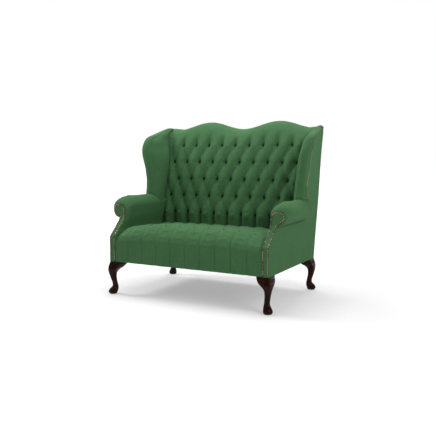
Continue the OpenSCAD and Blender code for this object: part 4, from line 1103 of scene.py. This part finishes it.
def row_positions(wide, s):
    """x of the buttons on a wide or a narrow row."""
    half = s.wide_half - (0 if wide else s.button_pitch / 2)
    return np.arange(-half, half + 1e-6, s.button_pitch)


class SETTEE_OT_buttons(bpy.types.Operator):
    """Make the covered buttons of the back and the seat."""

    bl_idname = "settee.buttons"
    bl_label = "Buttons"

    def execute(self, context):
        s = context.scene.settee_sizes
        profile = s.button_d / 2 * np.array([
            [0.9, 0], [1, 0.1], [0.98, 0.22], [0.85, 0.38],
            [0.62, 0.5], [0.35, 0.57], [0.12, 0.59], [0.01, 0.59],
        ])
        z_first, _, count = back_rows(s)
        rows = []
        for row in range(count):
            z = z_first + row * s.row_pitch
            slope = slope_of(lambda at: button_depth(at, s), z, s.row_pitch / 3)
            for x in row_positions(row % 2 == 1, s):
                rows.append([x, button_depth(z, s), z, 0, -1, slope, BACK_BUTTON_OUT])
        # The back's buttons take button_fabric, the cloth darkened as painted shade of their hollows
        self.sew("back_button_set", "back_buttons", profile * [1.2, 1], rows, "button_fabric", s)
        reach = (s.seat_d - s.nose_d) / s.seat_row_pitch
        rows = []
        for row in range(int((s.seat_d - s.nose_d - s.button_pitch) / s.seat_row_pitch) + 1):
            y = s.nose_d + row * s.seat_row_pitch + s.seat_inward
            share_of_drop = (1 - 0.7 * row / reach) * s.seat_drop
            rake = s.seat_rake / (s.seat_d - s.nose_d) if row else 0.0
            for x in row_positions(row % 2 == 1, s):
                fall = share_of_drop * smooth(abs(x) / s.seat_half, DROP_SHARE) + s.seat_rake * row / reach
                slope = slope_of(lambda at: smooth(at / s.seat_half, DROP_SHARE), abs(x), 0.01)
                rows.append([x, y, s.seat_h - fall, np.sign(x) * share_of_drop * slope, rake, 1,
                             SEAT_BUTTON_OUT if row else FRONT_BUTTON_OUT])
        self.sew("seat_button_set", "seat_buttons", profile, rows, "cover_fabric", s)
        return {"FINISHED"}

    def sew(self, name, node, profile, rows, cloth, s):
        """A set of buttons from rows of a place, a direction and how far the button stands out along it."""
        places, turns, out = np.split(np.array(rows), [3, 6], 1)
        turns = unit(turns)
        obj = repeated(name, turned(profile, 20), placed(places + turns * out, s), turns)
        dress(obj, "cover_fabric", node, finish=cloth)


def spread(line, pitch):
    """Points about pitch apart along a line of points, its two ends included."""
    total = run_length(line)
    at = np.linspace(0, total[-1], int(total[-1] / pitch) + 1)
    return np.stack([np.interp(at, total, line[:, c]) for c in range(3)], 1)


def mark_rim(obj, points, r):
    """Stores how far each point of a head lies from its middle, as a share of its radius."""
    copies = len(obj.data.vertices) // len(points)
    rim = obj.data.attributes.new("rim", "FLOAT", "POINT")
    rim.data.foreach_set("value", np.tile(np.linalg.norm(points[:, :2], axis=1) / r, copies))


def facing_nail_line(s):
    """Places and directions of the nails up, round and down the right facing."""
    foot = s.leg_h + s.nail_inset
    z = facing_rows(s)
    z = z[(z > foot) & (z <= s.waist_h + 2 * s.facing_r - s.nail_inset)]
    left, right = facing_edges(z, s)
    up = xyz(np.minimum(left + s.nail_inset, s.roll_x), 0, z)
    down = xyz(right - s.nail_inset, 0, z)[::-1]
    first, last = [s.facing_in + s.nail_inset, 0, foot], [s.half_w - s.nail_inset, 0, foot]
    line = spread(np.concatenate([[first], up, down, [last]]), s.nail_pitch)
    line[:, 1] = facing_depth(line[:, 2], s)
    slope = slope_of(lambda z: facing_depth(z, s), line[:, 2], s.nail_d / 2)
    return line, unit(xyz(0, -1, slope))


def wing_nail_line(s):
    """Places and directions of the nails along the right wing's edge, turned a little forwards."""
    edge = rising(wing_rows(s, 73)[0])
    path = edge - wing_forward(edge) * s.nail_inset
    path[0, 2] = s.arm_h + s.nail_inset
    line = spread(path, s.nail_pitch)
    _, y, z = line.T
    line[:, 0] = wing_surface(y, z, s)
    flare = (line[:, 0] - wing_surface(y + s.nail_d, z, s)) / s.nail_d
    return line, unit(xyz(1, flare, 0) + 0.45 * wing_forward(line))


class SETTEE_OT_nails(bpy.types.Operator):
    """Make the rows of dome nails round the facings and along the wings."""

    bl_idname = "settee.nails"
    bl_label = "Dome nails"

    def execute(self, context):
        s = context.scene.settee_sizes
        r, h = s.nail_d / 2, s.nail_h
        a = np.linspace(0, np.pi / 2, 7)
        dome = np.column_stack([0.97 * r * np.cos(a), h * (0.18 + 0.82 * np.sin(a))])
        dome[-1] = 0.01 * r, h
        shape = turned(np.concatenate([[[0.93 * r, 0], [r, 0.12 * h]], dome]), 16)
        lines = ("facing", facing_nail_line(s)), ("wing", wing_nail_line(s))
        for side in SIDES:
            for where, (line, out) in lines:
                places = mirrored(placed(line + out * NAIL_OUT, s), side)
                obj = repeated(f"{where}_nail_row_{side}", shape, places, mirrored(out, side))
                mark_rim(obj, shape[0], r)
                dress(obj, "nail_brass", f"{where}_nails_{side}")
        return {"FINISHED"}


# ---- legs and the underside


class SETTEE_OT_legs(bpy.types.Operator):
    """Make the four cabriole legs."""

    bl_idname = "settee.legs"
    bl_label = "Legs"

    def execute(self, context):
        s = context.scene.settee_sizes
        rows = np.array(LEG_SHARE[::-1])
        at = np.linspace(0, 1, 90)
        rings = leg_rings(np.column_stack([at, *(smooth(at, rows, c) for c in (1, 2, 3, 4))]), 56, s)
        for end, y, ahead in (("front", s.leg_step, 1), ("rear", s.base_d, -1)):
            for side in SIDES:
                flat = rings * np.array([1, ahead, 1]) + np.array([s.half_w, y, 0])
                obj = loft(f"cabriole_leg_{end}_{side}", mirrored(placed(flat, s), side), sharp=55,
                           flip=(end == "front") == (side == "left"))
                dress(obj, "show_wood", f"leg_{end}_{side}")
        return {"FINISHED"}


class SETTEE_OT_underside(bpy.types.Operator):
    """Make the lining cloth under the base and give the frame that stays its materials."""

    bl_idname = "settee.underside"
    bl_label = "Underside and frame"

    def execute(self, context):
        low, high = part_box("dust_cover")
        t, w = np.linspace(0, 1, 61)[:, None], np.linspace(0, 1, 41)
        sag = 0.0012 * np.sin(np.pi * t) ** 0.5 * np.sin(np.pi * w) ** 0.5
        grid = xyz(low.x + (high.x - low.x) * t, low.y + (high.y - low.y) * w, low.z + 0.0004 - sag)
        obj = band("lining_sheet", grid, grid + np.array([0, 0, 0.0006]), sharp=60)
        dress(obj, "dust_cloth", "dust_cover")
        high.x - low.x
        high.y - low.y
        slots = {sub["node"]: sub["material_slot"] for sub in frame["record"]["subparts"]}
        for name, node in frame["nodes"].items():
            node.data.materials.clear()
            node.data.materials.append(material_of(slots[name]))
        return {"FINISHED"}


# ---- stage


def aim(obj, target):
    """Turns an object's -z towards a point."""
    direction = Vector(target) - obj.location
    obj.rotation_euler = direction.to_track_quat("-Z", "Y").to_euler()


class SETTEE_OT_stage(bpy.types.Operator):
    """Set up the floor, the light and the camera."""

    bl_idname = "settee.stage"
    bl_label = "Stage"

    def execute(self, context):
        scene = context.scene
        self.lay_floor(scene.settee_finish)
        self.light(scene)
        camera = self.added(scene, "camera", bpy.data.cameras.new("camera"))
        camera.data.sensor_width, camera.data.lens = 36, 50.37
        target = np.array([0.0293, 0.366 - middle_y(scene.settee_sizes), 0.4703])
        az, el = math.radians(28.2144), math.radians(6.2526)
        back = np.array([math.sin(az) * math.cos(el), -math.cos(az) * math.cos(el), math.sin(el)])
        camera.location = target + back * scene.settee_finish.camera_distance
        aim(camera, target)
        scene.camera = camera
        scene.view_settings.view_transform = "Standard"
        return {"FINISHED"}

    def added(self, scene, name, data):
        """A new object of the scene from its data."""
        obj = bpy.data.objects.new(name, data)
        scene.collection.objects.link(obj)
        return obj

    def lay_floor(self, f):
        """The floor, whose own light rises with the distance until it is as white as the background; near
        the settee its glow is painted light that lifts the settee's shadow.
        """
        m = Finish("glowing_floor")
        far = m.node("VectorMath", {0: m.where}, operation="LENGTH").outputs["Value"]
        # painted light: a glow of 0.36 near the settee lightens its shadow; far off the glow of 1.0 makes
        # the floor as white as the background
        inputs = {"Value": far, "From Min": 1.2, "From Max": 3.2, "To Min": 0.36, "To Max": 1.0}
        glow = m.node("MapRange", inputs).outputs["Result"]
        base = m.ramp(m.noise(3.0, 2.0), (0.3, toned(f.floor, 0.99)), (0.7, f.floor))
        material = m.done({
            "Base Color": base, "Roughness": 0.9, "Specular IOR Level": 0.1,
            "Emission Color": (1, 1, 1, 1), "Emission Strength": glow,
        })
        corners = 30.0 * np.array([[-1, -1, 0], [1, -1, 0], [1, 1, 0], [-1, 1, 0]])
        plane = make_mesh("floor", corners, [[[0, 1, 2, 3]]])
        plane.data.materials.append(material)

    def light(self, scene):
        """A world that lights evenly and shows white to the camera, and three square lamps."""
        scene.world = scene.world or bpy.data.worlds.new("studio")
        scene.world.use_nodes = True
        nodes, links = scene.world.node_tree.nodes, scene.world.node_tree.links
        nodes.clear()
        mix = nodes.new("ShaderNodeMixShader")
        links.new(nodes.new("ShaderNodeLightPath").outputs["Is Camera Ray"], mix.inputs[0])
        for slot, strength in ((1, WORLD_LIGHT), (2, 1.0)):
            white = nodes.new("ShaderNodeBackground")
            white.inputs["Color"].default_value = (1, 1, 1, 1)
            white.inputs["Strength"].default_value = strength
            links.new(white.outputs[0], mix.inputs[slot])
        links.new(mix.outputs[0], nodes.new("ShaderNodeOutputWorld").inputs["Surface"])
        for name, at, size, power in LAMPS:
            lamp = self.added(scene, name, bpy.data.lights.new(name, "AREA"))
            lamp.data.shape, lamp.data.size, lamp.data.energy = "SQUARE", size, power
            lamp.location = at
            aim(lamp, (0, 0, 0.5))


class SETTEE_PT_panel(bpy.types.Panel):
    """Sizes, finish and the steps, in the 3D view's sidebar."""

    bl_idname = "SETTEE_PT_panel"
    bl_label = "High back settee"
    bl_space_type = "VIEW_3D"
    bl_region_type = "UI"
    bl_category = "Settee"

    def draw(self, context):
        column = self.layout.column()
        for step in STEPS:
            column.operator(step.bl_idname)
        for group in (context.scene.settee_sizes, context.scene.settee_finish):
            for name in group.bl_rna.properties.keys():
                if name not in ("rna_type", "name"):
                    column.prop(group, name)


STEPS = (
    SETTEE_OT_back_pad, SETTEE_OT_seat_pad, SETTEE_OT_arm_pads, SETTEE_OT_wing_pads, SETTEE_OT_outside,
    SETTEE_OT_facings, SETTEE_OT_buttons, SETTEE_OT_nails, SETTEE_OT_legs, SETTEE_OT_underside,
    SETTEE_OT_stage,
)
CLASSES = (SetteeSizes, SetteeFinish, *STEPS, SETTEE_PT_panel)


def register():
    """Registers the classes and hangs the two groups on the scene."""
    for cls in CLASSES:
        bpy.utils.register_class(cls)
    bpy.types.Scene.settee_sizes = PointerProperty(type=SetteeSizes)
    bpy.types.Scene.settee_finish = PointerProperty(type=SetteeFinish)


def unregister():
    """Takes the groups and classes off again."""
    del bpy.types.Scene.settee_sizes
    del bpy.types.Scene.settee_finish
    for cls in reversed(CLASSES):
        bpy.utils.unregister_class(cls)


def main():
    """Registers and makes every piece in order."""
    register()
    bpy.ops.settee.back_pad()
    bpy.ops.settee.seat_pad()
    bpy.ops.settee.arm_pads()
    bpy.ops.settee.wing_pads()
    bpy.ops.settee.outside()
    bpy.ops.settee.facings()
    bpy.ops.settee.buttons()
    bpy.ops.settee.nails()
    bpy.ops.settee.legs()
    bpy.ops.settee.underside()
    bpy.ops.settee.stage()


if __name__ == "__main__":
    main()
